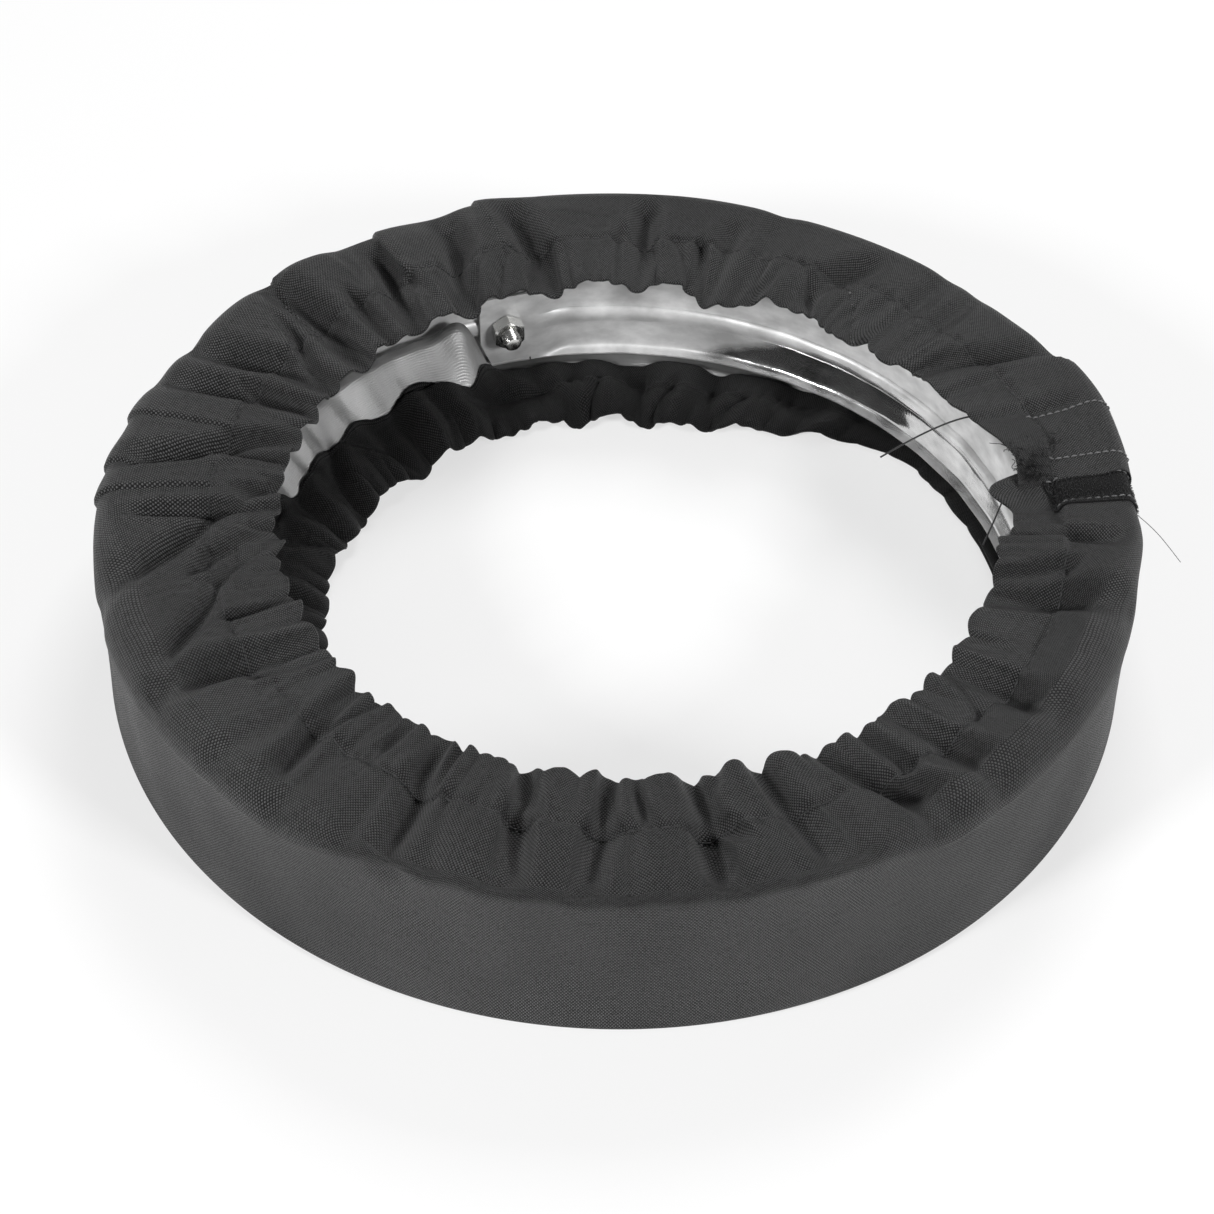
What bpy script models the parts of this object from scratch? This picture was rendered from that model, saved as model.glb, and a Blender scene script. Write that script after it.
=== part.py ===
"""Wheel cover: a gathered fabric ring stretched over a rolled steel hoop.

Metres, +Z up. The ring's axis is Z and the cover lies on z = 0.
Angles are in degrees from +X towards +Y.
"""
import math

import bmesh
import bpy
from mathutils import Matrix, Vector

MM = 0.001
GAP = 0.3 * MM

# Fabric cover: one strip folded into a C section, open towards the axis
COVER_R = 203.0 * MM
COVER_H = 70.0 * MM
FABRIC = 0.8 * MM
SHOULDER = 6.5 * MM
FLAT_SHARE = 0.25
SEAM_TO_HEM = 26.0 * MM

# Openings: the upper hem is a circle a little off centre, the lower hem spreads at the closure
UPPER_HEM_R = 140.5 * MM
UPPER_HEM_SHIFT = 8.0 * MM
LOWER_HEM_R = 118.0 * MM
LOWER_HEM_SPREAD = 42.0 * MM
SPREAD_FROM_DEG = 60.0
SPREAD_TO_DEG = 20.0

# Gathers: folds between the elastic hems and the shoulders
FOLDS = 38
FOLD_RISE = 7.5 * MM
LOWER_FOLD_SHARE = 0.33
UPPER_SEAM_Z = 65.8 * MM
HEM_LOBE = 2.6 * MM
FOLD_SIZE = (0.72, 0.18, 0.1)
FOLD_BEATS = (0.9, 2.3)
FOLD_SHIFT = 0.22
SHIFT_BEAT = 1.7
FOLD_FADE_DEG = 8.0
LAP_STATIONS = 6

# Elastic casings: a folded tunnel along each hem with a flat tape in it
CASING_HALF = 1.3 * MM
CASING_PUFF = 6.5 * MM
UPPER_ELASTIC_Z = 60.8 * MM
LOWER_ELASTIC_Z = 1.9 * MM
ELASTIC_W = 17.0 * MM
ELASTIC_T = 0.8 * MM

# Hook and loop closure: the flap end laps over the tucked end
ROOT_DEG = 25.0
FLAP_END_DEG = 6.5
TUCK_END_DEG = 18.0
TUCK_START_DEG = -8.0
TUCK_FULL_DEG = -1.0
TUCK = 3.6 * MM
TUCK_EDGE_SHARE = 0.4
FLAP_LIFT = 1.3 * MM
FLAP_EASE = 1.3 * MM
UPPER_CASING_END_DEG = 4.0
TAPE = 0.8 * MM
LOOP_FROM_DEG = 2.0
LOOP_TO_DEG = 16.0
LOOP_TUCK = 2.5 * MM
HOOK_FROM_DEG = 10.0
HOOK_TO_DEG = 18.5
HOOK_TUCK = 1.15 * MM
FLAP_STEP_DEG = 3.0

# Hoop: one rolled steel section with a flared upper flange, a bead and a curled lower lip
SHEET = 1.2 * MM
HOOP_WEB_R = 167.1 * MM
HOOP_EDGE_R = 196.0 * MM
HOOP_TOP = 63.4 * MM
FLARE_FOOT = 48.0 * MM
HOOP_FOOT = 7.6 * MM
BEAD_Z = 27.0 * MM
BEAD_HALF = 4.2 * MM
BEAD_DEPTH = 2.6 * MM
LIP = 4.2 * MM
EDGE_DROP = 5.0 * MM
HOOP_STEPS = 72

# Lap of the hoop's ends, closed by one M8 screw
BOLT_DEG = 108.0
BOLT_Z = BEAD_Z
TONGUE_LOW = 10.5 * MM
TONGUE_HIGH = 44.0 * MM
TONGUE_PAST_DEG = 4.2
TONGUE_ROOT_DEG = 8.0
TONGUE_DIVE_DEG = 2.6
TONGUE_CHAMFER = 8.0 * MM
SLOT_DEG = 3.8
SLOT_W = 2.0 * MM
SLOT_REACH = 70.0 * MM
BOLT_D = 8.0 * MM
BOLT_LEN = 20.0 * MM
HOLE_D = 9.0 * MM
HEX_AF = 13.0 * MM
HEX_EASE = 0.6 * MM
HEAD_H = 5.3 * MM
NUT_H = 6.5 * MM
WASHER_D = 16.0 * MM
WASHER_T = 1.6 * MM
ROUND_SIDES = 24


def clear_scene():
    for old in list(bpy.data.objects):
        bpy.data.objects.remove(old, do_unlink=True)


def new_collection(name):
    found = bpy.data.collections.new(name)
    bpy.context.scene.collection.children.link(found)
    return found


def new_material(name, colour, roughness, metallic=0.0):
    made = bpy.data.materials.new(name)
    made.use_nodes = True
    shader = made.node_tree.nodes["Principled BSDF"]
    shader.inputs["Base Color"].default_value = (*colour, 1.0)
    shader.inputs["Roughness"].default_value = roughness
    shader.inputs["Metallic"].default_value = metallic
    return made


def add_object(name, mesh, home, material=None):
    made = bpy.data.objects.new(name, mesh)
    home.objects.link(made)
    if material:
        mesh.materials.append(material)
    return made


def as_cutter(made):
    """Mark an object as a guide for Boolean steps, not a piece."""
    made.hide_render = True
    made.display_type = "WIRE"
    return made


def blend(low, high, value):
    """Smooth step from 0 at low to 1 at high."""
    share = min(max((value - low) / (high - low), 0.0), 1.0)
    return share * share * (3.0 - 2.0 * share)


def polar(radius, degrees, height):
    turn = math.radians(degrees)
    return Vector((radius * math.cos(turn), radius * math.sin(turn), height))


def from_closure(degrees):
    """Angle between a station and the middle of the closure, 0 to 180."""
    middle = 0.5 * (ROOT_DEG + FLAP_END_DEG)
    return abs((degrees - middle + 180.0) % 360.0 - 180.0)


def upper_hem(degrees):
    return UPPER_HEM_R + UPPER_HEM_SHIFT * math.cos(math.radians(degrees))


def spread(degrees):
    return 1.0 - blend(SPREAD_TO_DEG, SPREAD_FROM_DEG, from_closure(degrees))


def lower_hem(degrees):
    return LOWER_HEM_R + LOWER_HEM_SPREAD * spread(degrees)


def fold_height(index, degrees):
    """Signed share of the fold rise at a station: crests and valleys alternate unevenly."""
    fade = blend(ROOT_DEG, ROOT_DEG + FOLD_FADE_DEG, degrees)
    fade *= 1.0 - blend(360.0 + TUCK_START_DEG - FOLD_FADE_DEG, 360.0 + TUCK_START_DEG, degrees)
    size = FOLD_SIZE[0]
    size += FOLD_SIZE[1] * math.sin(FOLD_BEATS[0] * index)
    size += FOLD_SIZE[2] * math.sin(FOLD_BEATS[1] * index + 1.0)
    return fade * size * (0.5 if index % 2 else -0.5)


def fold_stations(last_deg):
    """Station angles of the gathers, from the flap's root right round to the tucked end."""
    count = 2 * FOLDS
    step = (360.0 + TUCK_START_DEG - ROOT_DEG) / count
    places = []
    for index in range(count + 1):
        shift = FOLD_SHIFT * math.sin(SHIFT_BEAT * index) if 0 < index < count else 0.0
        places.append(ROOT_DEG + step * (index + shift))
    rest = last_deg - places[-1]
    return places + [places[-1] + rest * (i + 1) / LAP_STATIONS for i in range(LAP_STATIONS)]


def strip_section(degrees, fold, tuck):
    """Middle line of the strip from the upper seam over the wall to the lower seam, as (r, z)."""
    half = 0.5 * FABRIC
    wall = COVER_R - half - tuck
    top = COVER_H - half - tuck
    low = half + tuck
    corner = SHOULDER + TUCK_EDGE_SHARE * tuck
    edge = COVER_R - corner
    lower_seam = lower_hem(degrees) + SEAM_TO_HEM
    flat = edge - FLAT_SHARE * (edge - lower_seam)
    rise = LOWER_FOLD_SHARE * FOLD_RISE * (1.0 - spread(degrees)) * (fold + 0.5)
    return [
        (upper_hem(degrees) + SEAM_TO_HEM, UPPER_SEAM_Z - tuck + FOLD_RISE * fold),
        (edge, top),
        (wall, COVER_H - corner),
        (wall, corner),
        (edge, low),
        (flat, low),
        (lower_seam, low + (rise if tuck == 0.0 else 0.0)),
    ]


def casing_section(hem, seam, middle, puff, seam_z, lobe):
    """U section of a casing on the strip's side first: seam, hem edge and back, as (r, z)."""
    near = hem + 2.0 * CASING_HALF
    return [
        (seam, seam_z),
        (near, middle + CASING_HALF + puff),
        (hem + lobe, middle),
        (near, middle - CASING_HALF),
        (seam - 2.0 * CASING_HALF, middle - CASING_HALF),
    ]


def sheet(name, rows, thickness, home, material, origin=Vector((0.0, 0.0, 0.0))):
    """A thin solid on a grid of points: an open surface with Solidify."""
    form = bmesh.new()
    grid = [[form.verts.new(point - origin) for point in row] for row in rows]
    for row, after in zip(grid, grid[1:]):
        for j in range(len(row) - 1):
            form.faces.new((row[j], after[j], after[j + 1], row[j + 1]))
    mesh = bpy.data.meshes.new(name)
    form.to_mesh(mesh)
    form.free()
    mesh.shade_smooth()
    made = add_object(name, mesh, home, material)
    made.location = origin
    shell = made.modifiers.new("thickness", "SOLIDIFY")
    shell.thickness = thickness
    shell.offset = 0.0
    shell.use_even_offset = True
    return made


def section_row(section, degrees):
    return [polar(radius, degrees, height) for radius, height in section]


def tuck_at(degrees):
    """How far the strip's under-end is tucked in, 0 away from the closure."""
    return TUCK * blend(360.0 + TUCK_START_DEG, 360.0 + TUCK_FULL_DEG, degrees)


def make_strip(home, material):
    rows = []
    for index, degrees in enumerate(fold_stations(360.0 + TUCK_END_DEG)):
        section = strip_section(degrees, fold_height(index, degrees), tuck_at(degrees))
        rows.append(section_row(section, degrees))
    return sheet("cover_strip", rows, FABRIC, home, material)


def pressed(degrees):
    """1 where the lower casing runs under the hoop's lip and lies flat, else 0."""
    return blend(0.0, 0.4, spread(degrees))


def upper_elastic_z(degrees):
    return UPPER_ELASTIC_Z - tuck_at(degrees)


def lower_elastic_z(degrees):
    return LOWER_ELASTIC_Z


def make_upper_casing(home, material, stations):
    rows = []
    for index, degrees in enumerate(stations):
        fold = fold_height(index, degrees)
        hem = upper_hem(degrees)
        seam = strip_section(degrees, fold, tuck_at(degrees))[0]
        puff = CASING_PUFF * (0.5 + fold)
        section = casing_section(
            hem, seam[0] - GAP - 0.5 * FABRIC, upper_elastic_z(degrees), puff, seam[1], HEM_LOBE * fold
        )
        rows.append(section_row(section, degrees))
    return sheet("upper_casing", rows, FABRIC, home, material)


def make_lower_casing(home, material, stations):
    """The strip's side lies on the floor and the turned-over side puffs up in view."""
    rows = []
    for index, degrees in enumerate(stations):
        fold = fold_height(index, degrees)
        hem = lower_hem(degrees)
        puff = CASING_PUFF * (1.0 - pressed(degrees)) * (0.5 + fold)
        seam = hem + SEAM_TO_HEM - GAP - 0.5 * FABRIC
        top = LOWER_ELASTIC_Z + CASING_HALF + 0.5 * puff
        section = casing_section(hem, seam, LOWER_ELASTIC_Z, puff, top, HEM_LOBE * fold)
        rows.append(section_row(section, degrees))
    return sheet("lower_casing", rows, FABRIC, home, material)


def make_elastic(name, home, material, stations, hem_of, height_of):
    rows = []
    for degrees in stations:
        inner = hem_of(degrees) + 4.0 * CASING_HALF
        height = height_of(degrees)
        rows.append([polar(inner, degrees, height), polar(inner + ELASTIC_W, degrees, height)])
    return sheet(name, rows, ELASTIC_T, home, material)


def spaced(first, last, step):
    count = max(1, round(abs(last - first) / step))
    return [first + (last - first) * i / count for i in range(count + 1)]


def make_flap(home, material, axis):
    """The overlapping end of the strip: a full upper leg, the wall and a short lower leg."""
    rows = []
    clear = math.degrees(GAP / COVER_R)
    top = COVER_H + FLAP_LIFT
    for degrees in spaced(ROOT_DEG - clear, FLAP_END_DEG, FLAP_STEP_DEG):
        ease = FLAP_EASE * (ROOT_DEG - degrees) / (ROOT_DEG - FLAP_END_DEG)
        section = strip_section(degrees, 0.0, 0.0)
        wall = [(radius + ease, height) for radius, height in section[2:4]]
        upper = [(upper_hem(degrees), top), (section[0][0], top), (section[1][0], top)]
        rows.append(section_row(upper + wall + section[4:6], degrees))
    return sheet("closure_flap", rows, FABRIC, home, material, axis)


def make_tape(name, home, material, first, last, tuck, origin):
    rows = []
    for degrees in spaced(first, last, FLAP_STEP_DEG):
        section = strip_section(degrees, 0.0, tuck)
        rows.append(section_row(section[1:6], degrees))
    return sheet(name, rows, TAPE, home, material, origin)


def hoop_profile():
    """Middle line of the rolled section from the turned-down rim to the lip, as (r, z)."""
    points = [
        (HOOP_EDGE_R, HOOP_TOP - EDGE_DROP),
        (HOOP_EDGE_R, HOOP_TOP - 1.5 * SHEET),
        (HOOP_EDGE_R - 1.5 * SHEET, HOOP_TOP - 0.5 * SHEET),
        (HOOP_WEB_R + 2.0 * SHEET, FLARE_FOOT + SHEET),
        (HOOP_WEB_R, FLARE_FOOT - 1.5 * SHEET),
    ]
    for step in range(5):
        turn = math.pi * step / 4
        depth = BEAD_DEPTH * math.sin(turn)
        points.append((HOOP_WEB_R - depth, BEAD_Z + BEAD_HALF * math.cos(turn)))
    points += [
        (HOOP_WEB_R, HOOP_FOOT + 0.5 * LIP),
        (HOOP_WEB_R - 0.3 * LIP, HOOP_FOOT),
        (HOOP_WEB_R - LIP, HOOP_FOOT - 0.3 * LIP),
    ]
    return points


def revolve(name, profile, steps, home, material):
    """Turn an open profile about Z and give it the sheet's thickness."""
    form = bmesh.new()
    line = [form.verts.new((radius, 0.0, height)) for radius, height in profile]
    for upper, lower in zip(line, line[1:]):
        form.edges.new((upper, lower))
    mesh = bpy.data.meshes.new(name)
    form.to_mesh(mesh)
    form.free()
    made = add_object(name, mesh, home, material)
    turn = made.modifiers.new("turn", "SCREW")
    turn.steps = steps
    turn.render_steps = steps
    turn.use_merge_vertices = True
    turn.merge_threshold = 0.00001
    turn.use_smooth_shade = True
    shell = made.modifiers.new("thickness", "SOLIDIFY")
    shell.thickness = SHEET
    shell.offset = 0.0
    shell.use_even_offset = True
    return made


def cut(target, cutter, operation="DIFFERENCE"):
    step = target.modifiers.new(cutter.name, "BOOLEAN")
    step.operation = operation
    step.object = cutter
    step.solver = "EXACT"


def prism(name, radius, height, sides, home, material=None):
    """A straight prism on the local Z axis, standing on z = 0."""
    form = bmesh.new()
    bmesh.ops.create_cone(form, cap_ends=True, segments=sides, radius1=radius, radius2=radius, depth=height)
    bmesh.ops.translate(form, verts=form.verts, vec=(0.0, 0.0, 0.5 * height))
    mesh = bpy.data.meshes.new(name)
    form.to_mesh(mesh)
    form.free()
    return add_object(name, mesh, home, material)


def outward(radius):
    """Frame on the screw's axis with local Z pointing away from the ring's axis."""
    place = Matrix.Translation(polar(radius, BOLT_DEG, BOLT_Z))
    turn = Matrix.Rotation(math.radians(BOLT_DEG), 4, "Z")
    tilt = Matrix.Rotation(0.5 * math.pi, 4, "Y")
    return place @ turn @ tilt


def tongue_radius():
    return HOOP_WEB_R - BEAD_DEPTH - SHEET - GAP


def make_tongue(home):
    """The lapping end of the hoop, joggled inwards over the bead of the other end."""
    rows = []
    root = BOLT_DEG - TONGUE_ROOT_DEG
    tip = BOLT_DEG + TONGUE_PAST_DEG
    for degrees in spaced(root, tip, 0.5 * TONGUE_DIVE_DEG):
        dive = 1.0 - blend(root, root + TONGUE_DIVE_DEG, degrees)
        radius = tongue_radius() + dive * (HOOP_WEB_R - tongue_radius())
        from_tip = math.radians(tip - degrees) * radius
        low = TONGUE_LOW + max(0.0, TONGUE_CHAMFER - from_tip)
        rows.append([polar(radius, degrees, low), polar(radius, degrees, TONGUE_HIGH)])
    return as_cutter(sheet("tongue", rows, SHEET, home, None))


def make_slot(cutters):
    """The gap between the hoop's ends, under the tongue."""
    slot = prism("slot", math.sqrt(0.5), 2.0 * COVER_H, 4, cutters)
    slot.data.transform(Matrix.Rotation(0.25 * math.pi, 4, "Z"))
    slot.data.transform(Matrix.Diagonal((SLOT_REACH, SLOT_W, 1.0, 1.0)))
    turn = Matrix.Rotation(math.radians(BOLT_DEG - SLOT_DEG), 4, "Z")
    slot.matrix_world = turn @ Matrix.Translation((HOOP_WEB_R, 0.0, -0.5 * COVER_H))
    return as_cutter(slot)


def make_hoop(home, cutters, material):
    hoop = revolve("hoop", hoop_profile(), HOOP_STEPS, home, material)
    hole = as_cutter(prism("bolt_hole", 0.5 * HOLE_D, 2.0 * BOLT_LEN, ROUND_SIDES, cutters))
    hole.matrix_world = outward(HOOP_WEB_R - BOLT_LEN)
    cut(hoop, make_slot(cutters))
    cut(hoop, make_tongue(cutters), "UNION")
    cut(hoop, hole)
    return hoop


def hex_piece(name, height, home, material):
    """A hexagon standing on z = 0 with its edges eased."""
    made = prism(name, HEX_AF / math.sqrt(3.0), height, 6, home, material)
    made.modifiers.new("edges", "BEVEL").width = HEX_EASE
    return made


def make_bolt(home, cutters, material):
    seat = HOOP_WEB_R + 0.5 * SHEET + GAP + WASHER_T + GAP
    bolt = hex_piece("hoop_bolt", HEAD_H, home, material)
    bolt.matrix_world = outward(seat)
    shank = as_cutter(prism("shank", 0.5 * BOLT_D, BOLT_LEN + 0.5 * HEAD_H, ROUND_SIDES, cutters))
    shank.matrix_world = outward(seat - BOLT_LEN)
    cut(bolt, shank, "UNION")


def make_nut(home, material, bore):
    seat = tongue_radius() - 0.5 * SHEET - GAP
    nut = hex_piece("hoop_nut", NUT_H, home, material)
    nut.matrix_world = outward(seat - NUT_H)
    cut(nut, bore)


def make_washer(home, material, bore):
    washer = prism("hoop_washer", 0.5 * WASHER_D, WASHER_T, ROUND_SIDES, home, material)
    washer.matrix_world = outward(HOOP_WEB_R + 0.5 * SHEET + GAP)
    cut(washer, bore)


def make_fasteners(home, cutters, material):
    bore = as_cutter(prism("bore", 0.5 * BOLT_D + GAP, 2.0 * BOLT_LEN, ROUND_SIDES, cutters))
    bore.matrix_world = outward(HOOP_WEB_R - BOLT_LEN)
    make_bolt(home, cutters, material)
    make_nut(home, material, bore)
    make_washer(home, material, bore)


def main():
    clear_scene()
    home = new_collection("wheel_cover")
    cutters = new_collection("cutters")
    fabric = new_material("charcoal_fabric", (0.035, 0.035, 0.038), 0.85)
    elastic = new_material("white_elastic", (0.75, 0.75, 0.72), 0.9)
    pile = new_material("black_tape", (0.015, 0.015, 0.016), 0.95)
    steel = new_material("rolled_steel", (0.62, 0.63, 0.64), 0.3, 1.0)
    zinc = new_material("zinc_fastener", (0.7, 0.7, 0.68), 0.22, 1.0)
    make_strip(home, fabric)
    upper_run = fold_stations(360.0 + UPPER_CASING_END_DEG)
    lower_run = fold_stations(360.0 + TUCK_START_DEG)[: 2 * FOLDS + 1]
    make_upper_casing(home, fabric, upper_run)
    make_lower_casing(home, fabric, lower_run)
    make_elastic("upper_elastic", home, elastic, upper_run, upper_hem, upper_elastic_z)
    make_elastic("lower_elastic", home, elastic, lower_run, lower_hem, lower_elastic_z)
    hinge = polar(COVER_R, ROOT_DEG, 0.5 * COVER_H)
    flap = make_flap(home, fabric, hinge)
    hook = make_tape("hook_tape", home, pile, HOOK_FROM_DEG, HOOK_TO_DEG, HOOK_TUCK, hinge)
    hook.parent = flap
    hook.location = (0.0, 0.0, 0.0)
    make_tape("loop_tape", home, pile, LOOP_FROM_DEG, LOOP_TO_DEG, LOOP_TUCK, Vector((0.0, 0.0, 0.0)))
    make_hoop(home, cutters, steel)
    make_fasteners(home, cutters, zinc)


main()
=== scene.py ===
import math

import bpy
import numpy as np
from mathutils import Matrix, Vector


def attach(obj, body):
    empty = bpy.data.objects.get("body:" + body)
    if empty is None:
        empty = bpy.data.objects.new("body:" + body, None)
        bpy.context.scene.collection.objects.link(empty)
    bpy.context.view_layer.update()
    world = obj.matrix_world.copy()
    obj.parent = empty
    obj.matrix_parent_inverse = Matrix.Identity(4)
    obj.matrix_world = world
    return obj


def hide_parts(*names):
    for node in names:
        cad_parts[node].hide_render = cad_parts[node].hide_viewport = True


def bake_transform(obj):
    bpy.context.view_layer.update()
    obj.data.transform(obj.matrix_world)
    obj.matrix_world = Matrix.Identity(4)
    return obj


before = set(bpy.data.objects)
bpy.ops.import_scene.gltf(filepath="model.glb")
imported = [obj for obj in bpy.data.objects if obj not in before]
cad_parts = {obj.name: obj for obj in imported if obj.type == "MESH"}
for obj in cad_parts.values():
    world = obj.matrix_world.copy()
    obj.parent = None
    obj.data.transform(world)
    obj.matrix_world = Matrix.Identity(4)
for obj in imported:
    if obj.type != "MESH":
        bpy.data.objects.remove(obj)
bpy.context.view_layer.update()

MM = 0.001
TURN = 2.0 * math.pi

# Angles run from +X towards +Y. A pair of them is a span in degrees, or in radians where a line says so.
# Three of them are a span in degrees and the width of its soft edges.

# Cover strip: outer radius, height, cloth, and the strip's two ends
COVER_R = 202.6 * MM
COVER_H = 69.6 * MM
FABRIC = 0.45 * MM
FLOOR_GAP = 0.3 * MM
FLAP_END = math.radians(6.5)
TUCK_END = math.radians(360.0 + 18.0)
SPLIT = math.radians(35.0)

# Closure: how the ends are tucked in, pressed down, cut back and swollen
TUCK_IN = 3.2 * MM
TUCK_SPAN = (349.0, 364.0)
FLAP_PRESS = 1.3 * MM
PRESS_END = math.radians(11.0)
FLAP_CUT = 12.0 * MM
FLAP_CUT_SPAN = (9.0, 28.0)
UNDER_CUT = 6.0 * MM
UNDER_CUT_SPAN = (350.0, 361.0)
UNDER_NOTCH = 15.0 * MM
UNDER_NOTCH_SPAN = (366.5, 372.0)
LEAST_CASING = 4.0 * MM
CLOSURE_SWELL = 4.6 * MM
SWELL_FROM = (-10.0, -1.0)
SWELL_TO = (22.0, 38.0)
# Step at the flap's root: its line slants by a degree every ROOT_SLANT mm inwards of ROOT_R, in mm too
ROOT_DEG = 25.0
FLAP_ROOT = math.radians(ROOT_DEG)
ROOT_STEP = 2.7 * MM
ROOT_EDGE = math.radians(0.6)
ROOT_R = 204.0
ROOT_REACH = 70.0
ROOT_SLANT = 6.0
ROOT_FADE = (0.15, 0.36)  # radians

# Hems
CASING = 26.0 * MM
UPPER_HEM_R = 140.5 * MM
UPPER_HEM_SHIFT = 8.0 * MM
UPPER_HEM_Z = 65.5 * MM
UPPER_SEAM_RISE = 1.5 * MM
LOWER_HEM_R = 118.0 * MM
LOWER_HEM_Z = 6.0 * MM
LOWER_SPREAD = 42.0 * MM
SPREAD_SPAN = (20.0, 60.0)

# Section: shoulders, front, and the lower flap that stands up at the left
SHOULDER = 7.5 * MM
LOWER_SHOULDER = 3.5 * MM
FRONT = (225.0, 315.0, 35.0)
FRONT_BEND = -3.5 * MM
FRONT_LIFT = 3.0 * MM
FRONT_LEAN = 2.0 * MM
SIDES = ((196.0, 234.0, 14.0), (308.0, 340.0, 14.0))
SIDE_BEND = 9.0 * MM
DROP_RIPPLE = 0.5 * MM
DROP_STEP = 2.6 * MM
DROP_BACK = (113.0, 128.0, 2.5)
DROP_LEFT = (150.0, 168.0, 6.0)
DROP_LEFT_SHARE = 0.6
STAND = 33.0 * MM
STAND_UP = (108.0, 118.0)
STAND_DOWN = (200.0, 214.0)
BANK = (130.0, 196.0, 26.0)
BANK_SHARE = 0.45
UNDER_SHARE = 0.55
CREST_WIDTH = 3.6 * MM
LOWER_SEAM_SHARE = 0.6
LOWER_RISE = (2.0 * MM, 3.0 * MM, 4.0 * MM)
WALL_SLACK = 2.0 * MM
# Waves of the wall's hollows: height, count round the ring, lean over the height, and start
WALL_WAVES = ((1.0, 11.0, 3.0, 0.0), (0.8, 17.0, -4.0, 1.0), (0.7, 29.0, 5.0, 2.0))

# Rows of the strip's grid, from the upper hem to the lower hem, and its columns
ROWS = {"casing": 12, "flap": 15, "corner": 6, "wall": 26, "under": 14, "rise": 8, "slope": 8}
ROW_CROWD = 1.35
COLUMNS = 760
SEED = 11

# Gathers: spare length of the cloth, and the pleats that take it up
TAUT = (34.0, 66.0, 14.0)
TAUT_SHARE = 0.75
GATHER_FROM = (14.0, 26.0)
GATHER_TO = (358.5, 364.5)
SHOULDER_SLACK = 9.0 * MM
LEFT_SLACK = 8.0 * MM
LEFT_SIDE = (150.0, 205.0, 14.0)
EASE_REACH = 8.0 * MM
PLEATS_UPPER = 32
PLEATS_LOWER = 36
PLEAT_UNEVEN = 0.72
PLEAT_WIDTH = (3.4 * MM, 5.8 * MM)
PLEAT_FLARE = 0.4
PLEAT_DEPTH = (0.75, 1.2)
PLEAT_SLANT = 11.0 * MM
PLEAT_SLANTED = (145.0, 210.0, 10.0)
PLEAT_REACH = (0.9, 1.45)
PLEAT_FADE = 0.22
PLEAT_LEFT = 0.3
PLEAT_LONG = (140.0, 215.0, 12.0)
PLEAT_SPARE = 0.8
SMALL_WIDTH = 0.6
SMALL_REACH = (0.3, 0.75)
SMALL_SPARE = 0.5
LOWER_WIDTH = 1.7
LOWER_REACH = (0.55, 0.95)
LOWER_SPARE = 0.32
FOLD_DEEPEN = (-0.45, 0.3, 0.45, 0.0)

# Relaxation: rounds, stiffness of the links, and how firmly hems, ends and wall are held
ROUNDS = 30
BENDS = ((2, 0.12), (4, 0.03))
BEND_ACROSS = 0.6
LINK_DIAGONAL = 0.12
LINK_ACROSS = 0.4
LINK_ALONG = 0.9
HOLD = 0.3
HOLD_ENDS = 0.4
HOLD_STANDING = 0.2
HOLD_LOFT = 0.001
WEIGHT = 0.01 * MM
END_COLUMNS = 14
# Half windows in columns over which radius, height, angle, folds and pleats are averaged
MEAN_R = 7
MEAN_Z = 22
MEAN_TURN = 9
MEAN_FOLD = 13
MEAN_PLEAT = 18
MEAN_SEAM = 26
LEAST_STEP = 0.04

# Hoop's outline that the cloth keeps off: radii and heights in millimetres
FLARE_FROM = (168.0, 48.8)
FLARE_SLOPE = 0.52
FLARE_OVER = 36.0
RIM_R = (192.0, 198.0)
RIM_Z = (50.0, 62.0, 64.4)
LIP_R = (161.0, 169.0)
LIP_Z = (4.9, 20.0)
WEB_CLEAR = (161.2, 5.5)

# Finished grid: turned-in hems, seams, puckers and hem lumps
TURN_UPPER = 12
TURN_LOWER = 22
UPPER_FIRST = TURN_UPPER + 2
LAYER_GAP = 1.0 * MM
LAYER_PUFF = 1.7 * MM
PUFF_FROM = (FLAP_END, 0.42)  # radians
PUFF_TO = (6.2, 6.45)  # radians
ROOM_SHARE = 0.75
ROOM = (FABRIC + 0.2 * MM, 5.0 * MM)
LOWER_TURN_WAVES = 64
LOWER_TURN_WAVE = 0.09
LOWER_TURN_LESS = 0.36
SEAM_DIP = 0.9 * MM
SEAM_DIP_WIDTH = 1.5 * MM
SEAM_VALLEY = 3.0 * MM
SEAM_SHALLOW = 0.1
PUCKERS = 330
PUCKER = 0.9 * MM
PUCKER_REACH = 6.0 * MM
STANDING_CALM = 0.85
RIPPLES = 46
LEAST_RIPPLE = 0.25
RUCHES = 250
RUCHE = 2.8 * MM
RUCHE_SHARES = (0.5, 0.35)
RUCHES_LOWER = 200
RUCHE_LOWER = 1.6 * MM
HEM_LUMPS = 84
HEM_SWELL = 4.5 * MM
HEM_RISE = 1.5 * MM
HEM_LEVEL = 0.4

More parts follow.
